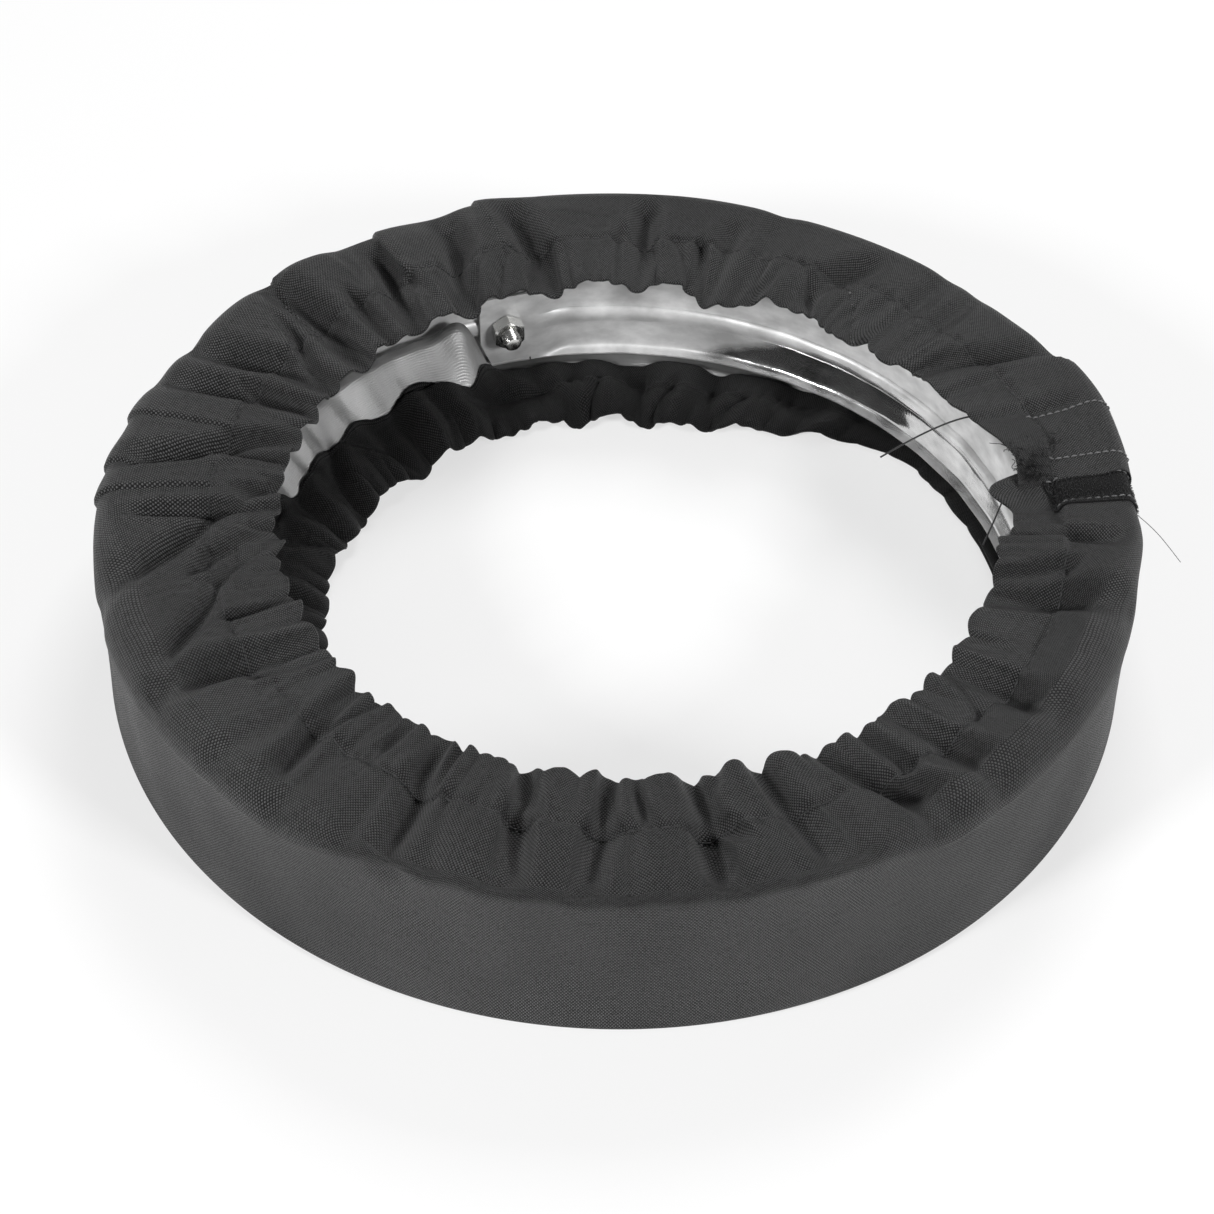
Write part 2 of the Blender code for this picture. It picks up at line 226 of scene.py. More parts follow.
# Big folds read from the photograph, each with its angle at the wall and at the seam.
# A lap adds its rise in mm and its length in degrees, a trough its depth and width in mm.
FOLD_SPAN = 40.0 * MM
LAP_EDGE = 0.45
LAPS = (
    (108.9, 108.0, 1.8, 8.0), (122.1, 122.9, 2.2, 8.0), (137.2, 141.5, 2.0, 10.0),
    (166.1, 166.2, 1.6, 9.0), (174.6, 172.9, 1.6, 7.0), (180.0, 178.7, 1.8, 5.0),
)
TROUGHS = (
    (224.0, 226.0, 2.5, 6.0), (233.5, 234.5, 3.0, 6.0), (242.5, 242.0, 2.5, 5.0),
    (251.8, 249.3, 3.4, 5.5), (258.1, 257.8, 3.8, 5.5), (266.4, 266.8, 2.2, 4.0),
    (272.0, 271.8, 3.8, 5.5), (277.5, 277.0, 1.8, 4.0), (282.9, 282.1, 3.8, 6.5),
    (289.0, 288.5, 2.0, 4.5), (296.2, 294.7, 3.4, 6.0), (304.5, 303.0, 2.6, 5.0),
    (314.0, 312.0, 3.0, 6.0),
)
# Upper casing at the back: creases as angle at the seam and at the hem, depth and width in mm
CREASES = (
    (110.4, 117.2, 2.4, 2.6), (106.8, 111.4, 2.8, 2.4), (103.4, 105.9, 2.8, 2.4),
    (101.0, 101.5, 2.2, 2.2), (98.8, 98.6, 2.6, 2.4), (85.9, 84.0, 3.2, 2.6),
    (82.0, 78.4, 3.0, 2.6), (78.2, 75.0, 2.4, 2.4), (68.2, 67.0, 3.0, 2.6),
    (62.9, 56.6, 2.8, 2.6), (57.0, 46.4, 2.6, 2.6),
)
# Lobes of its hem as angle, reach inwards in mm and half width in degrees
HEM_LOBES = ((72.2, 13.0, 6.0), (50.5, 7.0, 5.5), (41.2, 5.0, 4.0), (88.0, 3.0, 4.0))

# Stitches, elastic and tapes
STITCH_PITCH = 4.0 * MM
STITCH_LENGTH = 3.3 * MM
STITCH_RISE = 0.3 * MM
STITCH_R = 0.33 * MM
STITCH_FLOOR = 0.4 * MM
# A direction that hardly any thread runs in, to set out the rings of a tube
TUBE_SIDE = np.array([0.31, 0.17, 0.93])
STITCH_TAPER = np.array([0.45, 0.9, 1.0, 1.0, 0.9, 0.45])
TAPE_STITCH_PITCH = 3.2 * MM
TAPE_STITCH_LENGTH = 2.5 * MM
ELASTIC = 0.2 * MM
ELASTIC_SPAN = (36.0, 363.0)
ELASTIC_ROWS = slice(2, 10)
TAPE = 0.7 * MM
TAPE_GAP = 0.05 * MM
TAPE_ROWS = slice(UPPER_FIRST + 9, UPPER_FIRST + 58)
LOOP_SPAN = (361.8, 376.0)
HOOK_SPAN = (10.0, 18.5)
LOOP_STITCHES = (362.6, 366.9)
FLAP_STITCHES = (9.6, 17.5)
PILE_R = 0.075 * MM
PILE_ARCH = 2.6
PILE_LEAN = 0.9
PILE_SINK = 0.1 * MM
# Pile of each tape: its piece, span, side of the cloth, body, number of fibres and their height
PILES = (
    ("loop_tape_pile", LOOP_SPAN, 1.0, "cover", 5200, 0.9 * MM),
    ("hook_tape_pile", HOOK_SPAN, -1.0, "flap", 2200, 0.6 * MM),
)

# Hoop: rolled sheet, bead, lip, and the tongue that laps inside the other end
SHEET = 1.2 * MM
WEB_R = 167.1 * MM
WEB_TOP = 48.0 * MM
HOOP_EDGE_R = 196.0 * MM
HOOP_TOP = 63.4 * MM
HOOP_FOOT = 7.6 * MM
RIM_DROP = 5.0 * MM
LIP = 4.2 * MM
BEAD_DEPTH = 2.6 * MM
BEAD_HALF = 4.2 * MM
HOOP_SHARP = math.radians(50.0)
DENTS = (0.16 * MM, 0.12 * MM)
HOOP_COLUMNS = 560
TONGUE_COLUMNS = 48
TONGUE_LINES = 24
TONGUE_R = WEB_R - BEAD_DEPTH - SHEET - 0.3 * MM
TONGUE_LOW = 8.0 * MM
TONGUE_HIGH = 44.0 * MM
TONGUE_CUT = 20.0 * MM
TONGUE_SLOPE = 2.6
TONGUE_EASE = 8.0 * MM
LAP_BEFORE = 3.8
LAP_AFTER = 4.2
LAP_DIVE = math.radians(7.0)
LAP_GAP = math.radians(0.12)

# Screw, washer and nut, size M8
BOLT_DEG = 108.0
BOLT_Z = 27.0 * MM
LATHE_COLUMNS = 72
LATHE_SHARP = math.radians(28.0)
HEX_AF = 13.0 * MM
HEX_FACE = 0.476 * HEX_AF
HEX_SLOPE = 0.577
HEAD_HEIGHT = 5.3 * MM
NUT_HEIGHT = 6.5 * MM
NUT_BORE_R = 4.05 * MM
CHAMFER = 0.5 * MM
SCREW_R = 4.0 * MM
SCREW_LENGTH = 20.0 * MM
TIP_R = (2.9 * MM, 3.0 * MM)
PITCH = 1.25 * MM
THREAD_DEPTH = 0.68 * MM
THREAD_STEPS = 150
TINY = 0.05 * MM
WASHER_R = (4.3 * MM, 8.0 * MM)
WASHER = 1.6 * MM
WASHER_EASE = 0.2 * MM
SEAT_GAP = 0.3 * MM

# Loose thread ends: where each lies, its radius and the points of its route in millimetres
LOOSE_THREADS = (
    ("inner", 0.38, [(150, 57, 66.5), (141, 56, 66), (131, 54, 63), (119, 51.5, 57), (107, 49, 49)]),
    ("gap", 0.38, [(158, 25, 62), (155, 21, 58), (152, 17, 50), (149.5, 14, 43), (147, 12, 36)]),
    ("outer", 0.16, [(203, 2, 64), (209, 1, 59), (214.5, 0.5, 53), (219, 0, 47), (224, 0, 40)]),
)

# Frayed yarn where the casings stop: radius in mm, angle, height in mm and number of fibres
FRAY_SPOTS = (
    (165.0, 13.0, 67.0, 50), (168.5, 10.5, 67.0, 110), (166.0, 8.5, 65.0, 70), (174.0, 11.5, 70.0, 16),
)
FRAY_POINTS = 9
FRAY_SCATTER = 2.2 * MM
FRAY_LENGTH = (2.5 * MM, 7.0 * MM)
FRAY_FLAT = (1.0, 1.0, 0.3)
FRAY_HEADING = (-0.5, 0.0, -0.1)
FRAY_R = 0.14 * MM

# Materials: weave with painted highlight on its thread tops and painted shade between them, a darker copy of
# it that paints shade on the lower hem, dullness of the black pile, and where the steel is smooth enough to
# mirror
WEAVE_PITCH = 0.63 * MM
WEAVE_ASPECT = 1.15
YARN_LOW = (0.074, 0.074, 0.075)
YARN_HIGH = (0.108, 0.108, 0.109)
# Colour of the gaps between the threads: painted shade
YARN_GAP_PAINTED_SHADE = (0.002, 0.002, 0.0022, 1.0)
# How much darker the lower hem's weave is: painted shade
LOWER_PAINTED_SHADE = 0.44
DULL = 0.3
POLISH_FROM = (8.0 * MM, 22.0 * MM)
POLISH_SLANT = 2.2
POLISH_LOW = (9.0 * MM, 12.5 * MM)
POLISH_HIGH = (27.0 * MM, 34.0 * MM)

# Camera fitted to the photograph's outline, lamps and floor
CAMERA_RANGE = 1070.0 * MM
CAMERA_LIFT = math.radians(44.4)
CAMERA_ROLL = math.radians(-1.0)
SENSOR_MM = 36.0
FOCAL_PX = 2687.6
FRAME_PX = 1214.0
RING_CENTRE_PX = (615.9, 561.7)
FLOOR_HALF = 6.0
FLOOR_GLOW = 0.6
WORLD_LIGHT = 0.12
# Each lamp's place and size in metres, and its power in watts
LAMPS = (
    ("key_left", (-1.35, -1.15, 1.05), 0.35, 29.0),
    ("key_right", (1.35, -1.15, 1.05), 0.35, 24.0),
    ("back", (0.3, 1.3, 1.5), 0.8, 22.0),
)


# Shared sums on arrays
def running(steps, axis=0):
    """Lengths along a run of steps, from 0."""
    return np.concatenate([0.0 * steps.take([0], axis), np.cumsum(steps, axis=axis)], axis=axis)


def unit(vectors):
    return vectors / (np.linalg.norm(vectors, axis=-1, keepdims=True) + 1e-12)


def ring_points(turn, radius, height):
    return np.stack([radius * np.cos(turn), radius * np.sin(turn), height], axis=-1)


# Shape of the strip round the ring
def smooth(low, high, value):
    share = np.clip((value - low) / (high - low), 0.0, 1.0)
    return share * share * (3.0 - 2.0 * share)


def within(rise, fall, value):
    """0 outside, and 1 from the end of a rising span to the start of a falling one."""
    return smooth(*rise, value) * (1.0 - smooth(*fall, value))


def bump(low, high, edge, turn):
    """1 between two angles in degrees, falling to 0 over an edge on both sides."""
    return within((low - edge, low), (high, high + edge), np.degrees(turn) % 360.0)


def after(span, turn):
    """0 before a span of angles, rising to 1 after it."""
    return smooth(math.radians(span[0]), math.radians(span[1]), turn)


def cut_back(turn):
    """How far the upper hem draws back towards the wall at the strip's two ends."""
    flap = FLAP_CUT * (1.0 - after(FLAP_CUT_SPAN, turn))
    return flap + UNDER_CUT * after(UNDER_CUT_SPAN, turn) + UNDER_NOTCH * after(UNDER_NOTCH_SPAN, turn)


def upper_hem(turn):
    return UPPER_HEM_R + UPPER_HEM_SHIFT * np.cos(turn) + cut_back(turn)


def upper_seam(turn):
    """The casing narrows where the hem draws back."""
    return upper_hem(turn) + CASING - np.minimum(cut_back(turn), CASING - LEAST_CASING)


def spread(turn):
    """How far the lower hem lies back from the opening near the closure, 0 to 1."""
    middle = 0.5 * (FLAP_END + FLAP_ROOT)
    away = np.abs((turn - middle + math.pi) % TURN - math.pi)
    return 1.0 - after(SPREAD_SPAN, away)


def standing(turn):
    """How far the lower flap stands up in front of the hoop, 0 to 1."""
    return within(STAND_UP, STAND_DOWN, np.degrees(turn) % 360.0)


def gathered(turn):
    """Share of the full gathers, which end at the closure, 0 to 1."""
    return within(np.radians(GATHER_FROM), np.radians(GATHER_TO), turn)


def tucked(turn):
    """How far the under-end of the strip is tucked in, 0 away from the closure."""
    return TUCK_IN * after(TUCK_SPAN, turn)


def closure_swell(turn):
    """How far the doubled cloth stands out at the closure."""
    return CLOSURE_SWELL * within(SWELL_FROM, SWELL_TO, (np.degrees(turn) + 90.0) % 360.0 - 90.0)


def pressed(turn):
    """How far the flap's end is pressed down on the end under it."""
    return FLAP_PRESS * (1.0 - smooth(FLAP_END, PRESS_END, turn))


def slack(turn):
    """Spare length round the shoulder, most of it at the left."""
    return SHOULDER_SLACK + LEFT_SLACK * bump(*LEFT_SIDE, turn)


def shoulder_drop(turn):
    """The upper shoulder sits lower left of the pulled fold at the back, and ripples a little."""
    ripple = DROP_RIPPLE * (1.0 + np.sin(9.0 * turn + 0.6) * np.sin(4.0 * turn))
    return ripple + DROP_STEP * (bump(*DROP_BACK, turn) + DROP_LEFT_SHARE * bump(*DROP_LEFT, turn))


def wall_slack(turn, height):
    """Shallow hollows where the wall's cloth isn't drawn tight."""
    level = height / COVER_H
    wave = sum(high * np.sin(count * turn + lean * level + start) for high, count, lean, start in WALL_WAVES)
    return WALL_SLACK * (0.5 + 0.2 * wave) * np.clip(4.0 * level * (1.0 - level), 0.0, 1.0)


def mean_section(turn):
    """Radius and height of the unfolded strip at each angle, one row of points from hem to hem."""
    tuck = tucked(turn) + pressed(turn)
    hem, low_hem = upper_hem(turn), LOWER_HEM_R + LOWER_SPREAD * spread(turn)
    swell, front = closure_swell(turn), bump(*FRONT, turn)
    wall, low = COVER_R - tuck + swell, FLOOR_GAP + tuck
    top = COVER_H - tuck - shoulder_drop(turn) + FRONT_LIFT * front
    bend = SHOULDER + FRONT_BEND * front
    bend = bend + SIDE_BEND * sum(bump(*side, turn) for side in SIDES)
    edge = COVER_R + swell - FRONT_LEAN * front - bend
    low_edge = COVER_R + swell - LOWER_SHOULDER
    stand = STAND * standing(turn)
    bank = BANK_SHARE * STAND * bump(*BANK, turn)
    flat = 1.0 - spread(turn)
    under = low_hem + UNDER_SHARE * (low_edge - low_hem)
    crest = under - CREST_WIDTH
    seam = low_hem + np.minimum(CASING, LOWER_SEAM_SHARE * (crest - low_hem))
    radius, height = [hem[:, None]], [(UPPER_HEM_Z - tuck)[:, None]]

    def straight(r1, z1, count, crowd=1.0):
        share = np.linspace(0.0, 1.0, count + 1)[1:]
        share = share**crowd if crowd > 0.0 else 1.0 - (1.0 - share) ** -crowd
        for run, to in ((radius, r1), (height, z1)):
            last = run[-1][:, -1:]
            run.append(last + (to[:, None] - last) * share)

    def corner(up):
        share = np.linspace(0.0, 0.5 * math.pi, ROWS["corner"] + 1)[1:]
        if up:
            radius.append(edge[:, None] + (bend - tuck)[:, None] * np.sin(share))
            height.append((top - bend)[:, None] + bend[:, None] * np.cos(share))
        else:
            radius.append(low_edge[:, None] + (wall - low_edge)[:, None] * np.cos(share))
            height.append((low + LOWER_SHOULDER)[:, None] - LOWER_SHOULDER * np.sin(share))

    seam_z = UPPER_HEM_Z + UPPER_SEAM_RISE + 0.5 * FRONT_LIFT * front
    straight(upper_seam(turn), seam_z - tuck, ROWS["casing"], -ROW_CROWD)
    straight(edge, top, ROWS["flap"], ROW_CROWD)
    corner(True)
    straight(wall, low + LOWER_SHOULDER, ROWS["wall"])
    corner(False)
    straight(under, low + LOWER_RISE[0] * flat, ROWS["under"])
    straight(crest, low + LOWER_RISE[1] * flat + stand, ROWS["rise"])
    straight(seam, low + LOWER_RISE[2] * flat + bank, ROWS["slope"], -ROW_CROWD)
    straight(low_hem, low + LOWER_HEM_Z * flat, ROWS["casing"], ROW_CROWD)
    radius, height = np.hstack(radius), np.hstack(height)
    first = ROWS["casing"] + ROWS["flap"] + ROWS["corner"] + 1
    wall_rows = slice(first, first + ROWS["wall"])
    radius[:, wall_rows] -= wall_slack(turn[:, None], height[:, wall_rows])
    return radius, height


# Pleats that the relaxation starts from
def lobes(turn, count, uneven, rng):
    """A wave round the ring with lobes of uneven width, each as high as its width allows."""
    width = rng.uniform(1.0 - uneven, 1.0 + uneven, count)
    ends = running(width) / width.sum()
    place = (turn - turn[0]) / (turn[-1] - turn[0])
    lobe = np.clip(np.searchsorted(ends, place, side="right") - 1, 0, count - 1)
    share = (place - ends[lobe]) / np.diff(ends)[lobe]
    sign = np.where(lobe % 2, -1.0, 1.0)
    span = np.diff(ends)[lobe] * (turn[-1] - turn[0])
    tall = rng.uniform(0.7, 1.35, count)[lobe]
    return sign * np.clip(np.sin(math.pi * share), 0.0, 1.0) ** 0.8 * tall * 2.0 * span / math.pi


def pleat_places(count, rng):
    """Uneven angles of the pleats round the ring, and each one's share of the strip's length."""
    width = rng.uniform(1.0 - PLEAT_UNEVEN, 1.0 + PLEAT_UNEVEN, count)
    width *= (TUCK_END - FLAP_END) / width.sum()
    return FLAP_END + np.cumsum(width) - 0.5 * width, width


def pleat_depth(spare, width):
    """Depth of a pleat of this width that takes up a spare length of cloth."""
    shoulders = 2.5 * width
    return 0.5 * np.sqrt((spare + shoulders) ** 2 - shoulders**2)


def seed_pleats(turn, radius, height, rng):
    """Start the gathers: wide flat panels between narrow pleats, as deep as the spare length needs."""
    rows = radius.shape[1]
    upper = np.arange(ROWS["casing"] + ROWS["flap"] + ROWS["corner"] + 8)
    lower = rows - 1 - np.arange(ROWS["casing"] + ROWS["slope"] + ROWS["rise"] + ROWS["under"] // 2)
    for order, full, count, wide, reach, kept in (
        (upper, ROWS["casing"] + ROWS["flap"], PLEATS_UPPER, 1.0, PLEAT_REACH, 1.0),
        (lower, len(lower), PLEATS_LOWER, LOWER_WIDTH, LOWER_REACH, LOWER_SPARE),
    ):
        level = np.arange(len(order))[None, :]
        r = radius[:, order]
        longer = np.maximum((COVER_R + slack(turn)[:, None]) / r - 1.0, 0.0)
        spare = kept * longer * gathered(turn)[:, None]
        drop = np.zeros_like(r)
        for small in (False, True):
            places, shares = pleat_places(count, rng)
            for at, share in zip(places, shares):
                flare = 1.0 + PLEAT_FLARE * level / full
                width = wide * rng.uniform(*PLEAT_WIDTH) * (SMALL_WIDTH if small else 1.0) * flare
                slant = rng.normal(0.0, PLEAT_SLANT) * (1.0 + bump(*PLEAT_SLANTED, at))
                slant = slant * (level - ROWS["casing"]) / full
                end = rng.uniform(*(SMALL_REACH if small else reach)) * full
                end += PLEAT_LEFT * full * bump(*PLEAT_LONG, at) * rng.uniform(0.3, 1.0)
                fade = 1.0 - smooth(end - PLEAT_FADE * full, end, level)
                deep = pleat_depth(spare * share * r * (SMALL_SPARE if small else PLEAT_SPARE), width)
                away = ((turn[:, None] - at) * r - slant) / width
                drop += deep * fade * rng.uniform(*PLEAT_DEPTH) * np.exp(-(away**2))
        drop -= local_mean(drop, MEAN_PLEAT)
        lean = 0.5 * math.pi * np.clip((level - full) / ROWS["corner"], 0.0, 1.0)
        height[:, order] -= drop * np.cos(lean)
        radius[:, order] -= drop * np.sin(lean)
    return radius, height


# Relaxation of the strip
def pull(a, b, rest, share):
    """A share of what paired points are apart beyond their rest length, as vectors from a to b."""
    gap = b - a
    length = np.sqrt(np.einsum("...k,...k->...", gap, gap)) + 1e-12
    return gap * (share * (length - rest) / length)[..., None]


def pairs(grid, du, dv):
    """Two views of a grid, offset by du columns and dv rows."""
    n, m = grid.shape[:2]
    low, high = max(0, -dv), min(m, m - dv)
    return grid[: n - du, low:high], grid[du:, low + dv : high + dv]


def relax_links(points, rest, du, dv, stiff):
    """Bring linked points to their rest length, every second link at a time."""
    a, b = pairs(points, du, dv)
    for start in (0, 1):
        pick = (slice(start, None, 2),) if du else (slice(None), slice(start, None, 2))
        move = pull(a[pick], b[pick], rest[pick], 0.5 * stiff)
        a[pick] += move
        b[pick] -= move


def relax_bend(points, rest, du, dv, stiff):
    """Resist bending by pushing points two or more steps apart towards their flat distance."""
    move = pull(*pairs(points, du, dv), rest, 0.25 * stiff)
    total = np.zeros_like(points)
    a, b = pairs(total, du, dv)
    a += move
    b -= move
    points += total


def local_mean(values, half):
    """Mean along the strip, weighted towards the middle of a window, with the ends repeated."""
    for _ in range(2):
        before, behind = np.repeat(values[:1], half + 1, 0), np.repeat(values[-1:], half, 0)
        padded = np.concatenate([before, values, behind])
        total = np.cumsum(padded, axis=0)
        values = (total[2 * half + 1 :] - total[: -2 * half - 1]) / (2 * half + 1)
    return values


class Strip:
    """The cover's fabric as a grid of points that keeps the flat strip's lengths."""

    def __init__(self, turn):
        self.turn = turn
        rng = np.random.default_rng(SEED)
        radius, height = mean_section(turn)
        self.mean_r, self.mean_z = radius.copy(), height.copy()
        self.set_rest()
        radius, height = seed_pleats(turn, radius, height, rng)
        self.points = ring_points(turn[:, None], radius, height)

    def set_rest(self):
        """Rest lengths of the links and bends, with the gathers' spare length along the strip."""
        rows = self.mean_r.shape[1]
        flap = np.arange(rows) < ROWS["casing"] + ROWS["flap"]
        share = smooth(0.0, EASE_REACH, COVER_R + 1.0 * MM - self.mean_r) * gathered(self.turn)[:, None]
        share *= 1.0 - TAUT_SHARE * flap * bump(*TAUT, self.turn)[:, None]
        low = rows - ROWS["casing"] - ROWS["slope"] - ROWS["rise"] - ROWS["under"]
        share *= 1.0 - (1.0 - LOWER_SPARE) * smooth(low - ROWS["corner"], low + 5, np.arange(rows))
        around = self.mean_r + (COVER_R + slack(self.turn)[:, None] - self.mean_r) * share
        self.rest_u = np.diff(self.turn)[:, None] * 0.5 * (around[:-1] + around[1:])
        self.rest_v = np.hypot(np.diff(self.mean_r, axis=1), np.diff(self.mean_z, axis=1))
        self.rest_d = np.hypot(self.rest_u[:, :-1], self.rest_v[:-1])
        self.bends = []
        along, across = running(self.rest_u), running(self.rest_v, 1)
        for step, stiff in BENDS:
            self.bends.append((along[step:] - along[:-step], step, 0, stiff))
            self.bends.append((across[:, step:] - across[:, :-step], 0, step, BEND_ACROSS * stiff))

    def relax(self, rounds):
        for _ in range(rounds):
            self.hold()
            p = self.points
            for rest, du, dv, stiff in self.bends:
                relax_bend(p, rest, du, dv, stiff)
            relax_links(p, self.rest_d, 1, 1, LINK_DIAGONAL)
            relax_links(p, self.rest_d, 1, -1, LINK_DIAGONAL)
            relax_links(p, self.rest_v, 0, 1, LINK_ACROSS)
            relax_links(p, self.rest_u, 1, 0, LINK_ALONG)
            self.collide()

    def deepen(self):
        """Draw the upper flap's folds in further, as the stitched elastic does."""
        seam, edge = ROWS["casing"], ROWS["casing"] + ROWS["flap"]
        share = np.interp(np.arange(self.points.shape[1]), (0, seam, edge - 4, edge + 2), FOLD_DEEPEN)
        height = self.points[..., 2]
        height += share * (height - local_mean(height, MEAN_FOLD))
        self.collide()

    def hold(self):
        """Elastic hems held on average, the wall on the hoop, and the weight of the cloth."""
        p = self.points
        radius = np.hypot(p[..., 0], p[..., 1])
        rows = radius.shape[1]
        casing = ROWS["casing"] + 1
        want = radius.copy()
        turned = np.unwrap(np.arctan2(p[..., 1], p[..., 0]), axis=0)
        for part in (slice(0, casing), slice(rows - casing, rows)):
            want[:, part] += HOLD * (self.mean_r[:, part] - local_mean(radius[:, part], MEAN_R))
            p[:, part, 2] += HOLD * (self.mean_z[:, part] - local_mean(p[:, part, 2], MEAN_Z))
            off = turned[:, part] - self.turn[:, None]
            turned[:, part] -= HOLD * local_mean(off, MEAN_TURN)
        for end in (slice(0, END_COLUMNS), slice(-END_COLUMNS, None)):
            turned[end] -= HOLD_ENDS * (turned[end] - self.turn[end, None])
        raised = slice(rows - casing - ROWS["slope"] - ROWS["rise"] // 2, rows - casing)
        keep = HOLD_STANDING * standing(self.turn)[:, None]
        p[:, raised, 2] += keep * (self.mean_z[:, raised] - local_mean(p[:, raised, 2], MEAN_R))
        want[:, raised] += keep * (self.mean_r[:, raised] - local_mean(radius[:, raised], MEAN_R))
        first = ROWS["casing"] + ROWS["flap"]
        wall = slice(first, first + 2 * ROWS["corner"] + ROWS["wall"] + 1)
        firm = HOLD * smooth(4.0, ROWS["corner"] + 16.0, np.arange(wall.stop - wall.start))
        want[:, wall] += firm * (self.mean_r[:, wall] - radius[:, wall])
        p[:, wall, 2] += firm * (self.mean_z[:, wall] - p[:, wall, 2])
        p[..., 0] = want * np.cos(turned)
        p[..., 1] = want * np.sin(turned)
        soft = slice(0, first), slice(wall.stop, rows)
        for part in soft:
            p[:, part, 2] += HOLD_LOFT * (self.mean_z[:, part] - p[:, part, 2])
        p[..., 2] -= WEIGHT

    def collide(self):
        """Keep the cloth off the hoop's flare and lip and off the floor."""
        p = self.points
        radius = np.hypot(p[..., 0], p[..., 1])
        height = p[..., 2]
        flare_r, flare_z = FLARE_FROM
        rim_low, rim_turn, rim_top = (MM * level for level in RIM_Z)
        inner, outer = (MM * place for place in RIM_R)
        flare = (flare_z + (radius / MM - flare_r) * FLARE_SLOPE) * MM
        over = (radius > flare_r * MM) & (radius < outer) & (height > FLARE_OVER * MM)
        height = np.where(over, np.maximum(height, flare), height)
        rim = (height > rim_low) & (height < rim_top) & (radius > inner) & (radius < outer)
        radius = np.where(rim & (height < rim_turn), outer, radius)
        height = np.where(rim & (height >= rim_turn), rim_top, height)
        lip = (radius > LIP_R[0] * MM) & (radius < LIP_R[1] * MM) & (height < LIP_Z[1] * MM)
        height = np.where(lip, np.minimum(height, LIP_Z[0] * MM), height)
        p[..., 2] = np.maximum(height, FLOOR_GAP)
        low_rows = slice(radius.shape[1] - ROWS["casing"] - ROWS["slope"] - ROWS["rise"], None)
        tall = p[:, low_rows, 2] > WEB_CLEAR[1] * MM
        near = np.minimum(radius[:, low_rows], WEB_CLEAR[0] * MM)
        radius[:, low_rows] = np.where(tall, near, radius[:, low_rows])
        self.keep_order(radius)

    def keep_order(self, radius):
        """Neighbouring columns stay in order round the ring, so no fold passes through the next."""
        p = self.points
        turn = np.unwrap(np.arctan2(p[..., 1], p[..., 0]), axis=0)
        least = LEAST_STEP * np.diff(self.turn)[:, None]
        for start in (0, 1):
            a, b = turn[start:-1:2], turn[start + 1 :: 2]
            short = np.maximum(0.0, least[start::2] - (b - a))
            a -= 0.5 * short
            b += 0.5 * short
        p[..., 0] = radius * np.cos(turn)
        p[..., 1] = radius * np.sin(turn)


def make_strip():
    strip = Strip(np.linspace(FLAP_END, TUCK_END, COLUMNS))
    strip.relax(ROUNDS)
    strip.deepen()
    return strip


# Shared mesh builders
def add_object(name, data, *materials):
    made = bpy.data.objects.new(name, data)
    bpy.context.scene.collection.objects.link(made)
    for material in materials:
        data.materials.append(material)
    return made


def mesh_from(name, points, quads):
    mesh = bpy.data.meshes.new(name)
    points = np.ascontiguousarray(points, dtype=np.float32).reshape(-1, 3)
    quads = np.ascontiguousarray(quads, dtype=np.int32).reshape(-1, 4)
    mesh.vertices.add(len(points))
    mesh.vertices.foreach_set("co", points.ravel())
    mesh.loops.add(quads.size)
    mesh.loops.foreach_set("vertex_index", quads.ravel())
    mesh.polygons.add(len(quads))
    mesh.polygons.foreach_set("loop_start", np.arange(0, quads.size, 4, dtype=np.int32))
    mesh.update(calc_edges=True)
    mesh.polygons.foreach_set("use_smooth", np.ones(len(quads), dtype=bool))
    return mesh


def grid_quads(index):
    corners = [index[:-1, :-1], index[:-1, 1:], index[1:, 1:], index[1:, :-1]]
    return np.stack(corners, axis=-1).reshape(-1, 4)


def normals_of(points):
    return unit(np.cross(np.gradient(points, axis=1), np.gradient(points, axis=0)))


def sheet_object(name, points, flat, thickness, materials, open_first=False, open_last=False):
    """A cloth grid with real thickness: outer face, inner face and edges. flat is its flat layout."""
    n, m = points.shape[:2]
    normal = normals_of(points)
    both = np.concatenate([points + 0.5 * thickness * normal, points - 0.5 * thickness * normal])
    outer = np.arange(n * m).reshape(n, m)
    inner = outer + n * m
    faces = [grid_quads(outer), grid_quads(inner)[:, ::-1]]

    def edge(top, under):
        faces.append(np.stack([top[:-1], top[1:], under[1:], under[:-1]], axis=-1))

    edge(outer[:, 0], inner[:, 0])
    edge(inner[:, -1], outer[:, -1])
    if not open_first:
        edge(inner[0], outer[0])
    if not open_last:
        edge(outer[-1], inner[-1])
    quads = np.concatenate(faces)
    mesh = mesh_from(name, both, quads)
    slots = np.zeros(len(quads), dtype=np.int32)
    slots[len(faces[0]) : len(faces[0]) + len(faces[1])] = len(materials) - 1
    # With three materials, the outer faces of the lower hem's turned-in rows take the second, a darker copy
    # of the weave that paints shade on them
    if len(materials) == 3:
        turned = np.arange(m - 1) >= m - TURN_LOWER - 2
        slots[: len(faces[0])] = np.tile(turned, n - 1)
    mesh.polygons.foreach_set("material_index", slots)
    layer = mesh.uv_layers.new(name="flat")
    flat = np.concatenate([flat, flat]).reshape(-1, 2)[quads.ravel()]
    layer.data.foreach_set("uv", flat.astype(np.float32).ravel())
    return add_object(name, mesh, *materials)


